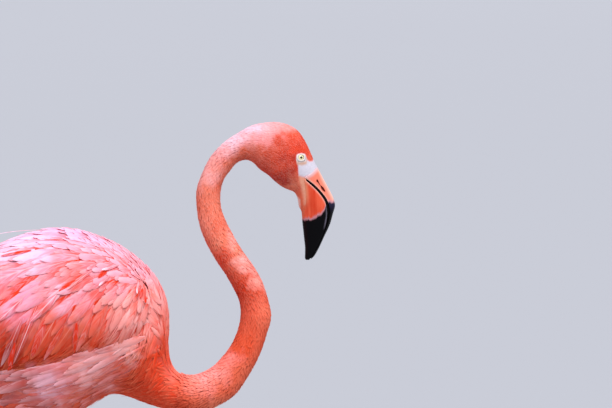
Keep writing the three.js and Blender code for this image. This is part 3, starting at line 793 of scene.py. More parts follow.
# Eyes
# Each is a wet ball in its socket, held in by the ring of lid skin. The iris is pale yellow, streaked
# outwards from a small black pupil, and the clear front bulges. Tears give it small sharp highlights.
iris, tree, shader = finish("eye", Roughness=0.25, Coat_Weight=1.0, Coat_Roughness=0.02)
gaze = put(tree, "Attribute", {}, out="Fac", attribute_name="gaze")
spoke = put(tree, "Attribute", {}, out="Vector", attribute_name="spoke")
spoke = put(tree, "TexNoise", {"Vector": spoke, "Scale": 5.0, "Detail": 3.0})
yellow = put(tree, "ValToRGB", {0: spoke}, [(0.3, "d6c272"), (0.7, "fbf3bd")])
reach = put(tree, "Math", {0: gaze, 1: 0.1}, operation="MULTIPLY")  # 1 is 10 mm from the eye's axis
# Past the iris's edge the yellow darkens to olive: painted shade of the gap under the lid.
zones = [(0.0, "000000"), (0.14, "000000"), (0.17, "ffffff"), (0.31, "ffffff"), (0.37, "6f6f6f")]
zones = put(tree, "ValToRGB", {0: reach}, zones)
toned = put(tree, "Mix", {0: 1.0, 6: yellow, 7: zones}, data_type="RGBA", blend_type="MULTIPLY")
tree.links.new(toned, shader.inputs["Base Color"])
for side, (seat, ways) in eye_seats.items():
    rings = ball(EYE_RADIUS, 64, 64)
    out = np.hypot(rings[..., 0], rings[..., 2])
    rings[..., 1] += 0.45 * np.exp(-((out / 3.4) ** 2)) * (rings[..., 1] > 0)
    turn = np.arctan2(rings[..., 2], rings[..., 0])
    spokes = np.stack([np.cos(turn) * 2.2, np.sin(turn) * 2.2, out * 0.16], -1)
    made = closed(f"eyeball_{side}", (rings - [0, EYE_DEPTH, 0]) @ ways + seat, "eye")
    note(made, "gaze", out.ravel())
    note(made, "spoke", spokes.reshape(-1, 3))
    made.data.materials.append(iris)
    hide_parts(f"eye_{side}")


# Claws
# Small blunt nails at the toes' ends, curved down to the ground. Each is a sheath of horn that grows over
# the toe's last bone. Dark and dull, with a faint brown grain.
claw_horn, tree, shader = finish("claw_horn", Roughness=0.45)
where = put(tree, "TexCoord", {}, out="Object")
grain = put(tree, "TexNoise", {"Vector": where, "Scale": 700.0, "Detail": 3.0})
shade = put(tree, "ValToRGB", {0: grain}, [(0.3, "241d1e"), (0.75, "4a3c3b")])
tree.links.new(shade, shader.inputs["Base Color"])
for side, sign in SIDES.items():
    nails = {toe: (length, -turn * sign, 2.3, 2.0) for toe, (length, turn) in TOES.items()}
    nails["hind"] = (18, 180, 4.4, 1.7)
    for toe, (reach, turn, height, radius) in nails.items():
        share = np.linspace(0, 1, 18)
        thick = radius * np.sqrt(1 - share**1.8 * 0.97)
        turns = np.arange(20) / 20 * 2 * math.pi
        ring = np.empty((18, 20, 3))
        ring[..., 0] = (reach - 1.2 + share * 8.2)[:, None]
        ring[..., 1] = (thick * 0.9)[:, None] * np.cos(turns)
        middle = height * (1 - 0.55 * share**2)[:, None]
        ring[..., 2] = np.maximum(middle + thick[:, None] * np.sin(turns), 0.05)
        made = closed(f"nail_{side}_{toe}", on_foot(ring, turn, sign), "claw")
        made.data.materials.append(claw_horn)
        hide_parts(f"claw_{side}_{toe}")


# Plumage
# Each feather is a thin closed vane, its shaft a little crowned, rooted in the skin and rising to its tip,
# so that it lies over the next one's root. Its lie and length come from the field below.
draw = np.random.default_rng(11)
skin_faces = [tuple(face.vertices) for face in skin.data.polygons]
skin_tree = BVHTree.FromPolygons([Vector(place) for place in places_of(skin).tolist()], skin_faces)

# Places on the bird's side, x and z; how many degrees feathers there slope down to the rear; their length.
LIE = [
    [-199, 802, 12, 74], [-161, 809, 5, 52], [-136, 821, 0, 34], [-99, 815, -12, 26], [-61, 800, -24, 20],
    [-36, 777, -20, 16], [-36, 752, 64, 24], [-24, 715, 76, 30], [-24, 684, 62, 36], [-49, 771, 42, 22],
    [-67, 787, 18, 24], [-61, 740, 68, 40], [-86, 740, 66, 50], [-111, 740, 62, 60], [-136, 715, 66, 74],
    [-174, 702, 66, 86], [-186, 740, 54, 90], [-199, 765, 40, 92], [-174, 777, 35, 84], [-136, 780, 32, 60],
    [-99, 784, 28, 36], [-174, 796, 17, 66], [-136, 800, 11, 46], [-49, 675, 24, 54], [-86, 667, 12, 64],
    [-124, 659, 8, 62], [-161, 640, -2, 62], [-199, 634, -4, 62], [-36, 640, 24, 40], [-300, 760, 20, 84],
    [-300, 700, 32, 90], [-300, 650, 26, 78], [-400, 720, 22, 72], [-400, 650, 16, 66], [-480, 650, 14, 50],
    [-250, 600, 2, 46], [-350, 610, 3, 46], [-150, 590, 2, 36], [-60, 612, 20, 24],
]


def smooth(value, low, high):
    """A soft step from 0 at low to 1 at high."""
    share = np.clip((np.asarray(value, float) - low) / (high - low), 0, 1)
    return share * share * (3 - 2 * share)


def side_lie(points):
    """The way feathers point on the side of the body, and their lengths in mm."""
    x, z, slope, length = np.transpose(LIE)
    away = (points[:, [0]] - x) ** 2 + (points[:, [2]] - z) ** 2
    weight = (away + 60) ** -1.6
    weight /= weight.sum(axis=1, keepdims=True)
    return weight @ rearward(slope), weight @ length


def seats_on(rings, count):
    """Random places spread evenly over a loft: points, ring numbers, turns from 0 to 1, and the way back."""
    ahead = np.roll(rings, -1, axis=1)
    area = np.linalg.norm(np.cross(rings[1:] - rings[:-1], ahead[:-1] - rings[:-1]), axis=-1).ravel()
    chosen = draw.choice(area.size, count, p=area / area.sum())
    i, j = np.divmod(chosen, rings.shape[1])
    u, v = draw.random((2, count))
    near = rings[i, j] * (1 - v)[:, None] + ahead[i, j] * v[:, None]
    far = rings[i + 1, j] * (1 - v)[:, None] + ahead[i + 1, j] * v[:, None]
    back = near - far
    back /= np.linalg.norm(back, axis=1)[:, None]
    return near * (1 - u)[:, None] + far * u[:, None], i + u, (j + v) / rings.shape[1], back


def thin(points, gaps):
    """Picks places that stand at least their own gap from each place picked before."""
    tree = KDTree(len(points))
    for i, point in enumerate(points):
        tree.insert(point, i)
    tree.balance()
    taken = np.zeros(len(points), bool)
    picked = []
    for i, point in enumerate(points):
        if not taken[i]:
            picked.append(i)
            taken[[j for _, j, _ in tree.find_range(point, gaps[i])]] = True
    return np.array(picked)


def on_skin(points):
    """Which points are on the outside of the joined skin, not buried in another part of the bird."""
    return np.array([skin_tree.find_nearest(Vector(point))[3] < 0.6 for point in points])


def lay(seats, aims, lengths, low, high, rows, slack=0.35, curl=0.0):
    """Shafts that follow the skin from their seats, rising from low to high over it, and the skin's normals.

    Where the skin falls away, a shaft drops after it by no more than slack times its own length.
    """
    shares = np.linspace(0, 1, rows) ** 0.85
    lines = np.empty((len(seats), rows, 3))
    normals = np.empty_like(lines)
    for i, (seat, aim, length) in enumerate(zip(seats.tolist(), aims.tolist(), lengths.tolist())):
        point, aim, up = Vector(seat), Vector(aim), None
        for k, share in enumerate(shares):
            step = length * (share - shares[k - 1]) if k else 0.0
            point = point + aim * step
            near, normal = skin_tree.find_nearest(point)[:2]
            fall = (point - near).dot(normal)
            if k and fall > slack * step:
                near = point.lerp(near, slack * step / fall)
            up = normal.copy() if up is None else (up + normal).normalized()
            aim = (aim - up * aim.dot(up)).normalized()
            lines[i, k], normals[i, k] = near, up
            point = near
    low, high, curl = (np.broadcast_to(value, len(seats))[:, None] for value in (low, high, curl))
    height = low + (high - low) * shares + curl * np.clip(shares - 0.55, 0, 1) ** 2
    return lines + normals * height[..., None], normals


# Outlines: share of the length, share of the half width.
TUFT = [[0, 0.45], [0.5, 1.0], [1, 0.3]]
ROUND = [[0, 0.35], [0.25, 0.85], [0.55, 1.0], [0.8, 0.9], [0.93, 0.68], [1, 0.4]]
LANCE = [[0, 0.3], [0.15, 0.7], [0.38, 1.0], [0.6, 0.94], [0.8, 0.7], [0.92, 0.42], [1, 0.12]]
PATCH = 0.003  # the size of a feather's own patch on its unwrap


def vanes(name, slot, material, unwrap, lines, normals, widths, slender=0.0, columns=5, outline=ROUND,
          camber=0.2, thick=0.3, ragged=0.1, fringe=0.25, tips=0.3, shafts=0.0, depths=0.0):
    """One joined piece of feathers along their shafts.

    slender goes from a rounded vane at 0 to a lance at 1. ragged roughens the sides and fringe the tip.
    tips and shafts say how white each feather's tip and shaft are, and depths how deep its colour is.
    """
    count, rows = lines.shape[:2]
    along = np.gradient(lines, axis=1)
    along /= np.linalg.norm(along, axis=-1, keepdims=True)
    side = np.cross(along, normals)
    side /= np.linalg.norm(side, axis=-1, keepdims=True)
    up = np.cross(side, along)
    steps = np.linalg.norm(np.diff(lines, axis=1), axis=-1)
    distance = np.concatenate([np.zeros((count, 1)), np.cumsum(steps, axis=1)], axis=1)
    lengths = distance[:, -1:]
    shares = distance / lengths
    slender = np.broadcast_to(slender, count)[:, None]
    form = np.interp(shares, *np.transpose(outline))
    form += (np.interp(shares, *np.transpose(LANCE)) - form) * slender
    half = np.asarray(widths, float)[:, None] / 2 * form
    across = np.linspace(-1, 1, columns)
    rim = np.abs(across) > 0.9
    shape = (count, rows, columns)
    reach = half[..., None] * across * (1 - ragged * draw.random(shape) * np.where(rim, 2.0, 0.4))
    slide = half[..., None] * ragged * draw.normal(size=shape) * rim
    notches = across**2 + draw.random((count, columns)) * (across != 0)
    slide[:, -1] -= half.max(axis=1)[:, None] * fringe * notches
    sag = -camber * half[..., None] * across**2
    swell = thick / 2 * (1 - across**2)
    spine = lines[:, :, None] + side[:, :, None] * reach[..., None] + along[:, :, None] * slide[..., None]
    top = spine + up[:, :, None] * (sag + swell)[..., None]
    under = (spine + up[:, :, None] * (sag - swell)[..., None])[:, 1:-1, 1:-1]
    points = np.concatenate([top.reshape(count, -1, 3), under.reshape(count, -1, 3)], axis=1)
    grid = np.arange(rows * columns).reshape(rows, columns)
    lower = grid.copy()
    lower[1:-1, 1:-1] = rows * columns + np.arange((rows - 2) * (columns - 2)).reshape(rows - 2, columns - 2)
    quads = []
    for face in (grid, lower):
        corners = [face[:-1, :-1], face[:-1, 1:], face[1:, 1:], face[1:, :-1]]
        quads.append(np.stack(corners, -1).reshape(-1, 4))
    one = np.vstack([quads[0], quads[1][:, ::-1]])
    each = points.shape[1]
    faces = (one[None] + np.arange(count)[:, None, None] * each).reshape(-1, 4)
    made = piece(name, points.reshape(-1, 3), faces, slot)
    made.data.materials.append(material)

    # The two faces of a vane meet in a sharp rim.
    inner = np.zeros(each, bool)
    inner[lower[1:-1, 1:-1]] = inner[grid[1:-1, 1:-1]] = True
    ends = np.empty(len(made.data.edges) * 2, np.int32)
    made.data.edges.foreach_get("vertices", ends)
    sharp = ~inner[ends.reshape(-1, 2) % each].any(axis=1)
    made.data.attributes.new("sharp_edge", "BOOLEAN", "EDGE").data.foreach_set("value", sharp)

    def per_vertex(values):
        """A grid's values in the order of the vertices: all of the top, then the inner underside."""
        values = np.broadcast_to(values, shape)
        return np.concatenate([values.reshape(count, -1), values[:, 1:-1, 1:-1].reshape(count, -1)], axis=1)

    seed = draw.random(count)[:, None, None]
    turned, share = per_vertex(across), per_vertex(shares[..., None])
    side_mm, along_mm = per_vertex(np.abs(reach)), share * lengths
    note(made, "vane", np.dstack([turned, share, per_vertex(seed)]).reshape(-1, 3))
    barb = [(side_mm - 0.3 * along_mm) * 0.5, (along_mm + 0.3 * side_mm) * 0.04, per_vertex(seed * 60)]
    note(made, "barb", np.dstack(barb).reshape(-1, 3))
    places = [per_vertex(lines[..., k][..., None]) for k in range(3)]
    note(made, "place", to_frame(np.dstack(places).reshape(-1, 3)))
    dress = np.column_stack([np.broadcast_to(value, count) for value in (tips, shafts, depths)])
    note(made, "dress", np.repeat(dress, each, axis=0))
    patch = unwrap[:, None] * (1 - PATCH) + PATCH * np.dstack([turned / 2 + 0.5, share])
    corners = patch.reshape(-1, 2)[faces.ravel()].astype(np.float32)
    made.data.uv_layers.new(name="OFBake").data.foreach_set("uv", corners.ravel())
    return made


def keratin(name, deep, pale, sunk, rims, grooves=0.3, sheen=0.2, warm=1.0, faded=0.0, uneven=0.08):
    """Feather keratin: dull, with a faint silky sheen off the barbs, which are drawn coarser, 2 mm apart.

    deep is its colour in deeper feathers and where shade is painted, and pale where it is worn. sunk paints
    shade at the root, under the feathers that overlie it, and grooves paints shade in the gaps between barbs,
    whose tops get a painted highlight. rims pales the sides, faded the whole, and warm turns the pale colour
    to coral low down.
    uneven is how much feathers differ.
    """
    made, tree, shader = finish(
        name, Roughness=0.8, Specular_IOR_Level=0.06, Sheen_Weight=sheen, Sheen_Roughness=0.3,
        Sheen_Tint=linear("ff9478"),
    )
    place, vane, dress, barb = (
        put(tree, "Attribute", {}, out="Vector", attribute_name=field)
        for field in ("place", "vane", "dress", "barb")
    )
    height = put(tree, "SeparateXYZ", {0: place}, out="Z")
    across, along, seed = (put(tree, "SeparateXYZ", {0: vane}, out=axis) for axis in "XYZ")
    white_tip, white_shaft, extra = (put(tree, "SeparateXYZ", {0: dress}, out=axis) for axis in "XYZ")
    aside = put(tree, "Math", {0: across}, operation="ABSOLUTE")
    streak = put(tree, "TexNoise", {"Vector": barb, "Scale": 1.0, "Detail": 2.0})
    warmth, tone, root, gaps, end, quill, side, barbs = (
        put(tree, "MapRange", {0: value, 1: start, 2: stop, 3: low, 4: high})
        for value, start, stop, low, high in (
            (height, 0.69, 0.83, warm, 0.0), (seed, 0.0, 1.0, 1 - uneven, 1 + uneven),
            (along, 0.05, 0.75, sunk, 0.0), (streak, 0.36, 0.56, grooves, 0.0), (along, 0.55, 1.0, 0.0, 1.0),
            (aside, 0.04, 0.13, 1.0, 0.0), (aside, 0.45, 1.0, 0.0, rims), (streak, 0.52, 0.72, 0.0, 0.25),
        )
    )
    # Painted shade at the root and in the gaps between barbs, and each feather's own depth of colour.
    depth = put(tree, "Math", {0: root, 1: gaps}, operation="ADD", use_clamp=True)
    depth = put(tree, "Math", {0: depth, 1: extra}, operation="ADD", use_clamp=True)
    tip = put(tree, "Math", {0: end, 1: white_tip}, operation="MULTIPLY", use_clamp=True)
    shaft = put(tree, "Math", {0: quill, 1: white_shaft}, operation="MULTIPLY", use_clamp=True)
    # The barbs' tops are paled: a painted highlight.
    paling = put(tree, "Math", {0: side, 1: barbs}, operation="ADD", use_clamp=True)
    for share in (tip, shaft, faded):
        paling = put(tree, "Math", {0: paling, 1: share}, operation="MAXIMUM")
    body = put(tree, "HueSaturation", {"Value": tone, "Color": markings(tree, place)})
    body = put(tree, "Mix", {0: depth, 6: body, 7: deep}, data_type="RGBA")
    # The pale colour is pinker high up and coral low down: partly its own colour, partly painted light from
    # above.
    light = put(tree, "Mix", {0: warmth, 6: pale, 7: "ea7a58"}, data_type="RGBA")
    final = put(tree, "Mix", {0: paling, 6: body, 7: light}, data_type="RGBA")
    tree.links.new(final, shader.inputs["Base Color"])
    bump = put(tree, "Bump", {"Height": streak, "Strength": 0.3, "Distance": 0.0004})
    tree.links.new(bump, shader.inputs["Normal"])
    return made


def rearward(slope):
    """The way back along the body, sloping down by some degrees."""
    slope = np.radians(slope)
    return np.column_stack([-np.cos(slope), 0 * slope, -np.sin(slope)])


def in_column(count):
    """Where feathers lie on their unwrap when they are few and stand in a row."""
    return np.column_stack([np.full(count, 0.5), (np.arange(count) + 0.5) / count])


def jitter(aims, amount):
    """Aims each turned a little at random."""
    return aims + draw.normal(size=aims.shape) * amount


def kept(keep, *arrays):
    """The same choice from several arrays."""
    return [array[keep] for array in arrays]


def vary(count, low, high):
    """Random values, one for each feather."""
    return draw.uniform(low, high, count)


# Neck: short dense velvet that lies back from the head towards the body. Its tips are so fine and close that
# it looks like one even, matt nap.
velvet = keratin("feather_velvet", "c2300f", "f8b4a4", 0.12, 0.1, grooves=0.1, sheen=0.12, uneven=0.05)
neck_first = int(np.searchsorted(stations, NECK_START - 0.6))
head_first = int(np.searchsorted(stations, HEAD_START + 1))
neck_rings = body_rings[neck_first : head_first + 1]
neck_depth = coat_depth[neck_first : head_first + 1]
seats, ring, turn, back = seats_on(neck_rings, 110000)
share = ring / (len(neck_rings) - 1)
seats, ring, share, turn, back = kept(thin(seats, 2.3 - 0.7 * share), seats, ring, share, turn, back)
seats, ring, share, turn, back = kept(on_skin(seats), seats, ring, share, turn, back)
depth = np.interp(ring, np.arange(len(neck_depth)), neck_depth)
for name, chosen in (("coat_neck_low", share < 0.45), ("coat_neck_high", share >= 0.45)):
    some, lean, deep, part, at = kept(chosen, seats, back, depth, share, np.column_stack([share, turn]))
    size = (9.0 - 3.2 * part) * vary(len(some), 0.85, 1.2)
    lines, normals = lay(some, jitter(lean, 0.08), size, 0.2 * deep, deep * vary(len(some), 0.8, 1.0), 3, 1.0)
    vanes(name, "neck_plumage", velvet, at, lines, normals, size * 0.42, columns=3, outline=TUFT, thick=0.25)

# Head: the same velvet, shorter still, down to 3 mm on the face, and none on the bare skin.
head_rings = body_rings[head_first:]
seats, ring, turn, back = seats_on(head_rings, 90000)
share = ring / (len(head_rings) - 1)
flat = seats[:, [0, 2]]
bare = np.max([depth_inside(flat, outline) for _, _, _, outline in BARE.values()], axis=0)
bare = np.maximum(bare, depth_inside(flat, BILL_BASE + PAST_BILL))
to_eye = (np.abs((flat - EYE[[0, 2]]) / [5.9, 4.7]) ** 3).sum(axis=1)
keep = (bare < vary(len(seats), -1.4, -0.2)) & (to_eye > 1) & (seats[:, 0] < 184)
seats, share, turn, back, bare = kept(keep, seats, share, turn, back, bare)
keep = thin(seats, 1.5 - 0.35 * smooth(share, 0.1, 0.5))
seats, share, turn, back, bare = kept(keep, seats, share, turn, back, bare)
size = vary(len(seats), 0.85, 1.2) * (0.6 + 0.4 * smooth(-bare, 0, 8)) * (5.6 - 1.8 * share)
lines, normals = lay(seats, jitter(back, 0.08), size, 0.1, size * vary(len(seats), 0.14, 0.2), 3, 1.0)
at = np.column_stack([share, turn])
widths = size * 0.46
vanes("coat_head", "neck_plumage", velvet, at, lines, normals, widths, columns=3, outline=TUFT, thick=0.15)

# Trunk: rounded contour feathers, short on the breast and longer to the rear. Along the back they run to the
# tail; from there they part and sweep down each side. Each is pale along its sides and deeper at its root,
# where shade is painted under the feathers that overlie it.
contour = keratin("feather_contour", "e43c1c", "ffd4e2", 0.4, 0.42)
trunk_last = int(np.searchsorted(stations, NECK_START + 1.2))
trunk_rings = body_rings[: trunk_last + 1]
seats, ring, turn, back = seats_on(trunk_rings, 90000)
aims, lengths = side_lie(seats)
upright = np.abs(np.sin(turn * 2 * math.pi))
station = np.interp(ring, np.arange(len(stations)), stations)
aside = smooth(1 - upright, 0.12, 0.5) * (1 - smooth(station, NECK_START - 1.6, NECK_START - 0.2))
parting = np.sign(seats[:, [1]]) * [0, 1, 0] * (2.2 * aside * (1 - aside))[:, None]
aims = back * (1 - aside)[:, None] + aims * aside[:, None] + parting
front = smooth(station, 10.5, NECK_START - 1)
lengths = lengths * (1.15 - 0.55 * front)
widths = (3.5 + 0.2 * lengths) * (1 - 0.35 * front) * (1 - 0.2 * smooth(seats[:, 0], -90, -50))
keep = thin(seats, (0.4 - 0.06 * front) * np.sqrt(widths * lengths))
seats, ring, turn, aims, lengths, widths, front = kept(keep, seats, ring, turn, aims, lengths, widths, front)
keep = on_skin(seats)
seats, ring, turn, aims, lengths, widths, front = kept(keep, seats, ring, turn, aims, lengths, widths, front)
unwrap = np.column_stack([ring / len(trunk_rings), turn])
for name, chosen in (("coat_breast", seats[:, 0] > -110), ("coat_back_and_belly", seats[:, 0] <= -110)):
    some, at, lean, size, wide, short = kept(chosen, seats, unwrap, aims, lengths, widths, front)
    count = len(some)
    scale = vary(count, 0.8, 1.2)
    high = vary(count, 2.4, 3.4) - 1.7 * short + 0.8 * smooth(some[:, 2], 780, 815)
    lines, normals = lay(some, jitter(lean, 0.09), size * scale, 0.4, high, 9)
    vanes(
        name, "plumage", contour, at, lines, normals, wide * scale, camber=0.22,
        slender=np.maximum(smooth(size, 24, 46), np.maximum(short, 0.8 * smooth(some[:, 0], -90, -50))),
        fringe=0.4, tips=vary(count, 0.1, 0.6), depths=vary(count, -0.4, 0.3),
    )

# Wings: a full layer of coverts over each folded wing, and over it the longest ones, some with white shafts.
# All grow from the wing's skin and are of the same keratin as on the trunk.
for side, sign in SIDES.items():
    rings = wing_rings[side]
    seats, ring, turn, _ = seats_on(rings, 60000)
    seats, ring, turn = kept((seats[:, 1] * sign > 30) & on_skin(seats), seats, ring, turn)
    for name, stretch, slim, gap, low, high, rows, columns, deeper in (
        ("under", 1.0, 0.16, 0.34, 0.4, 2.0, 10, 5, 0.25), ("upper", 1.2, 0.21, 0.56, 1.2, 3.6, 16, 7, -0.1)
    ):
        aims, lengths = side_lie(seats)
        lengths = lengths * stretch
        widths = 4 + slim * lengths
        keep = thin(seats, gap * np.sqrt(widths * lengths))
        unwrap = np.column_stack([ring / len(rings), turn])
        some, at, lean, size, wide = kept(keep, seats, unwrap, aims, lengths, widths)
        count = len(some)
        scale = vary(count, 0.8, 1.2)
        lean = jitter(lean, 0.09)
        tops = high * vary(count, 0.8, 1.2)
        lines, normals = lay(some, lean, size * scale, low, tops, rows, curl=vary(count, -3, 2))
        shafts = smooth(size, 34, 64) * vary(count, -0.2, 0.9).clip(0) * (name == "upper")
        vanes(
            f"coat_wing_{side}_{name}", "plumage", contour, at, lines, normals, wide * scale,
            slender=smooth(size, 24, 46), columns=columns, camber=0.24, tips=vary(count, 0.1, 0.7),
            shafts=shafts, depths=vary(count, -0.4, 0.4) + deeper,
        )


def beside(sign, places):
    """The skin's points level with places x, z on one side of the bird."""
    found = []
    for x, z in places:
        hit = skin_tree.ray_cast(Vector((x, 160.0 * sign, z)), Vector((0, -sign, 0)))[0]
        found.append(hit or skin_tree.find_nearest(Vector((x, 60.0 * sign, z)))[0])
    return np.array(found)


# Flanks: long soft plumes from the breast's side that lie back over the wing's lower edge. Their barbs are
# loose, so they are fluffier and paler than the rest, with more painted shade in the gaps between barbs.
plume = keratin("feather_plume", "ea6e50", "ffccd0", 0.2, 0.45, grooves=0.4, warm=0.0, faded=0.1)
for side, sign in SIDES.items():
    k, row = np.meshgrid(np.linspace(0, 1, 20), np.linspace(0, 1, 10))
    k = (k + draw.normal(size=k.shape) * 0.04).ravel().clip(0, 1)
    row = (row + draw.normal(size=row.shape) * 0.04).ravel().clip(0, 1)
    x = -30 - 155 * k - 8 * row
    top = np.interp(x, [-200, -140, -60, -20], [646, 662, 690, 702])
    z = top - row * (top - np.interp(x, [-190, -150, -125, -20], [642, 632, 616, 598]))
    seats = beside(sign, np.column_stack([x, z]))
    count = len(seats)
    size = (60 + 34 * k) * vary(count, 0.75, 1.35)
    low = 3.6 - 2.8 * smooth(row, 0, 0.35)
    aims = jitter(rearward(17 - 22 * row), 0.12)
    lines, normals = lay(seats, aims, size, low, low + vary(count, 1.2, 2.8), 16, 0.5)
    tips = (0.3 + 0.4 * k) * smooth(seats[:, 2], 612, 645)
    vanes(
        f"coat_flank_{side}", "plumage", plume, np.column_stack([k, row]), lines, normals, 5 + 0.11 * size,
        slender=1.0, columns=7, camber=0.18, fringe=0.6, tips=tips, depths=vary(count, -0.5, 0.1),
    )

# Wisps: fine loose strands over the breast's side and the flank, shed from contour feathers and held by
# those around them.
for side, sign in SIDES.items():
    count = 300
    x = vary(count, -185, -20)
    bottom = np.interp(x, [-190, -130, -60, -20], [650, 636, 612, 640])
    top = np.interp(x, [-190, -130, -60, -20], [672, 690, 735, 730])
    seats = beside(sign, np.column_stack([x, bottom + draw.random(count) * (top - bottom)]))
    aims, _ = side_lie(seats)
    size = vary(count, 22, 48)
    aims = jitter(aims, 0.1)
    tops = vary(count, 3.4, 4.6)
    lines, normals = lay(seats, aims, size, 2.8, tops, 12, 0.5, curl=vary(count, 0, 4))
    vanes(
        f"coat_wisps_{side}", "plumage", contour, in_column(count), lines, normals, vary(count, 0.8, 1.9),
        slender=1.0, columns=3, thick=0.2, tips=0.9, depths=-0.4,
    )

# Loose feathers on each side, one by one: x, z where it starts and where it ends, its width and its lift in
# mm, how far its tip curls, and how white its tip is, how white its shaft is and how deep its colour is.
# Worn ones are white edged, and stand a little off the rest.
LOOSE = [
    [-130, 817, -153, 812, 4, 4, 0, 0, 0, 0.7], [-168, 806, -207, 799, 5, 4.5, 0, 0, 0, 0.6],
    [-75, 784, -87, 772, 7, 3.6, 0, 0, 0, 0.9], [-62, 788, -84, 774, 5, 4.6, 18, 1, 0.6, 0],
    [-72, 776, -87, 763, 4, 4.6, 16, 1, 0.6, 0], [-88, 790, -100, 781, 6, 3.6, 6, 0.4, 0, 0],
    [-38, 768, -48, 753, 4, 4.6, 18, 1, 0.6, 0], [-33, 759, -41, 748, 6, 3.6, 0, 0, 0, 0.9],
    [-29, 750, -34, 742, 6, 3.6, 6, 0, 0, 0.8], [-113, 772, -134, 757, 7, 3.8, 0, 0, 0, 0.85],
    [-94, 783, -124, 758, 6, 4.2, 4, 0.2, 0.6, 0], [-128, 763, -170, 720, 12, 4.2, 0, 0, 0.7, 0.1],
    [-178, 750, -208, 722, 12, 4.2, 0, 0, 0.7, 0.1], [-160, 742, -190, 668, 8, 4.4, 0, 0.2, 0.9, 0.1],
    [-178, 728, -206, 664, 9, 4.2, 0, 0.5, 0.4, -0.2], [-188, 700, -198, 640, 9, 4, 0, 0, 0, 0.9],
    [-150, 724, -167, 676, 11, 4, 0, 0, 0.1, 0.6], [-112, 720, -114, 680, 8, 3.8, 0, 0, 0, 0.6],
    [-128, 716, -152, 672, 8, 4.2, 2, 0.3, 0.1, 0], [-94, 726, -112, 682, 8, 4, 2, 0.2, 0.1, 0],
    [-34, 704, -73, 680, 4, 4.6, 3, 0.5, 0.2, -0.1], [-28, 690, -66, 674, 4, 4.6, 4, 0.5, 0.2, -0.1],
]
table = np.array(LOOSE, float)
wide, lift, curl, tips, shafts, depths = table[:, 4:].T
run = table[:, 2:4] - table[:, :2]
size = np.linalg.norm(run, axis=1)
aims = np.column_stack([run[:, 0], 0 * size, run[:, 1]]) / size[:, None]
snowy = keratin("feather_white_edged", "e4361a", "fff0f8", 0.4, 0.12, warm=0.35)
for side, sign in SIDES.items():
    lines, normals = lay(beside(sign, table[:, :2]), aims, size, lift * 0.7, lift, 14, curl=curl)
    vanes(
        f"coat_loose_{side}", "plumage", snowy, in_column(len(table)), lines, normals, wide, slender=1.0,
        columns=7, tips=tips, shafts=shafts, depths=depths,
    )

# Thighs: short feathers of the trunk's keratin that grow from the leg's skin, longer towards the body. They
# run down it and end above the bare shank.
for side, sign in SIDES.items():
    rings = leg_rings[side][leg_rings[side][:, :, 2].mean(axis=1) > FEATHER_EDGE + 2]
    seats, ring, turn, back = seats_on(rings, 16000)
    seats, ring, turn, back = kept(on_skin(seats), seats, ring, turn, back)
    fall = smooth(seats[:, 2], FEATHER_EDGE, 610)
    seats, ring, turn, back, fall = kept(thin(seats, 2.4 + 3.2 * fall), seats, ring, turn, back, fall)
    count = len(seats)
    size = (7 + 15 * fall) * vary(count, 0.85, 1.15)
    aims = jitter(-back, 0.08)
    lines, normals = lay(seats, aims, size, 0.2, 0.6 + 3.4 * fall * vary(count, 0.8, 1.2), 6, 0.6)
    at = np.column_stack([ring / len(rings), turn])
    vanes(
        f"coat_thigh_{side}", "plumage", contour, at, lines, normals, 2.4 + 0.25 * size,
        tips=vary(count, 0.1, 0.4), depths=vary(count, -0.2, 0.2),
    )


# Flight feathers
# Long vanes on strong shafts, set in the wing's rear edge and the tail. When the wing is folded, pale
# tertials and secondaries hide all of the black primaries but the tips.
def free_vanes(name, slot, material, starts, ends, bow, facing, widths, **looks):
    """Long vanes from start to end, bowed out along the way they face."""
    share = np.linspace(0, 1, 24) ** 0.9
    starts, ends, facing = (np.asarray(value, float) for value in (starts, ends, facing))
    lines = starts[:, None] + (ends - starts)[:, None] * share[:, None]
    lines += facing[:, None] * (bow * np.sin(share * math.pi * 0.9))[:, None]
    normals = np.repeat(facing[:, None], len(share), axis=1)
    at = in_column(len(starts))
    return vanes(name, slot, material, at, lines, normals, widths, slender=1.0, columns=9, **looks)


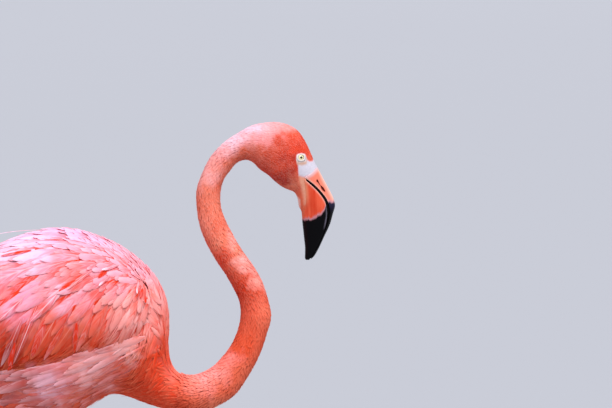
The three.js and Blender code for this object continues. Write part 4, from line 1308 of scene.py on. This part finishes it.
wisp_start, wisp_end = [[-158, -18, 829]], [[-232, -24, 819]]
free_vanes("back_wisp", "plumage", snowy, wisp_start, wisp_end, 3.0, [[0, 0, 1]], [2.4], tips=1.0, shafts=1.0)

# The primaries' keratin is packed with dark pigment, so it is black all through, with hardly any sheen.
flight = keratin("feather_flight_black", "0c0a0c", "3a3032", 0.0, 0.1, grooves=0.2, warm=0.0)
for side, sign in SIDES.items():
    k = np.arange(11)[:, None]
    starts = [-384, 52 * sign, 650] + k * [0.6, -0.5 * sign, -2.2]
    ends = [-529, 35 * sign, 599] + k * [5.0, 0.9 * sign, 1.0]
    facing = [[0.05, sign, 0.35]] * len(k)
    widths = np.full(len(k), 17.0)
    name = f"primaries_{side}_feathers"
    made = free_vanes(name, "flight_feather", flight, starts, ends, 2.0, facing, widths, depths=1.0)
    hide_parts(f"primaries_{side}")
k = np.arange(12)[:, None] - 5.5
starts = [-396, 0, 640] + k * [0, 3.4, 0] + np.abs(k) * [0.5, 0, -1.4]
ends = [-500, 0, 593] + k * [0, 5.2, 0] + np.abs(k) * [2.2, 0, -0.6]
facing = [-0.35, 0, 0.93] + k * [0, 0.05, 0]
widths = np.full(len(k), 17.0)
looks = {"tips": 0.5, "shafts": 0.4}
tail = free_vanes("tail_feathers", "plumage", contour, starts, ends, 3.0, facing, widths, **looks)
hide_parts("tail")
for side, sign in SIDES.items():
    k = np.linspace(0.1, 1, 15)
    count = len(k)
    rows = np.column_stack([-262 - 75 * k, 100 * sign + 0 * k, 792 - 128 * k])
    seats = np.array([skin_tree.find_nearest(Vector(place))[0] for place in rows])
    aims = jitter(rearward(27 - 10 * k), 0.03)
    lines, normals = lay(seats, aims, 176 - 14 * k + vary(count, -8, 8), 3.0, 9.0, 26, 0.22)
    vanes(
        f"tertials_{side}", "plumage", contour, in_column(count), lines, normals, vary(count, 22, 27),
        slender=1.0, columns=9, camber=0.22, tips=0.4, shafts=0.6, depths=vary(count, -0.3, 0.1),
    )

# How large the model and its CAD are in the frame.
size = {"cad": [list(corner) for corner in cad_box], "visual": [list(corner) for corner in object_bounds()]}
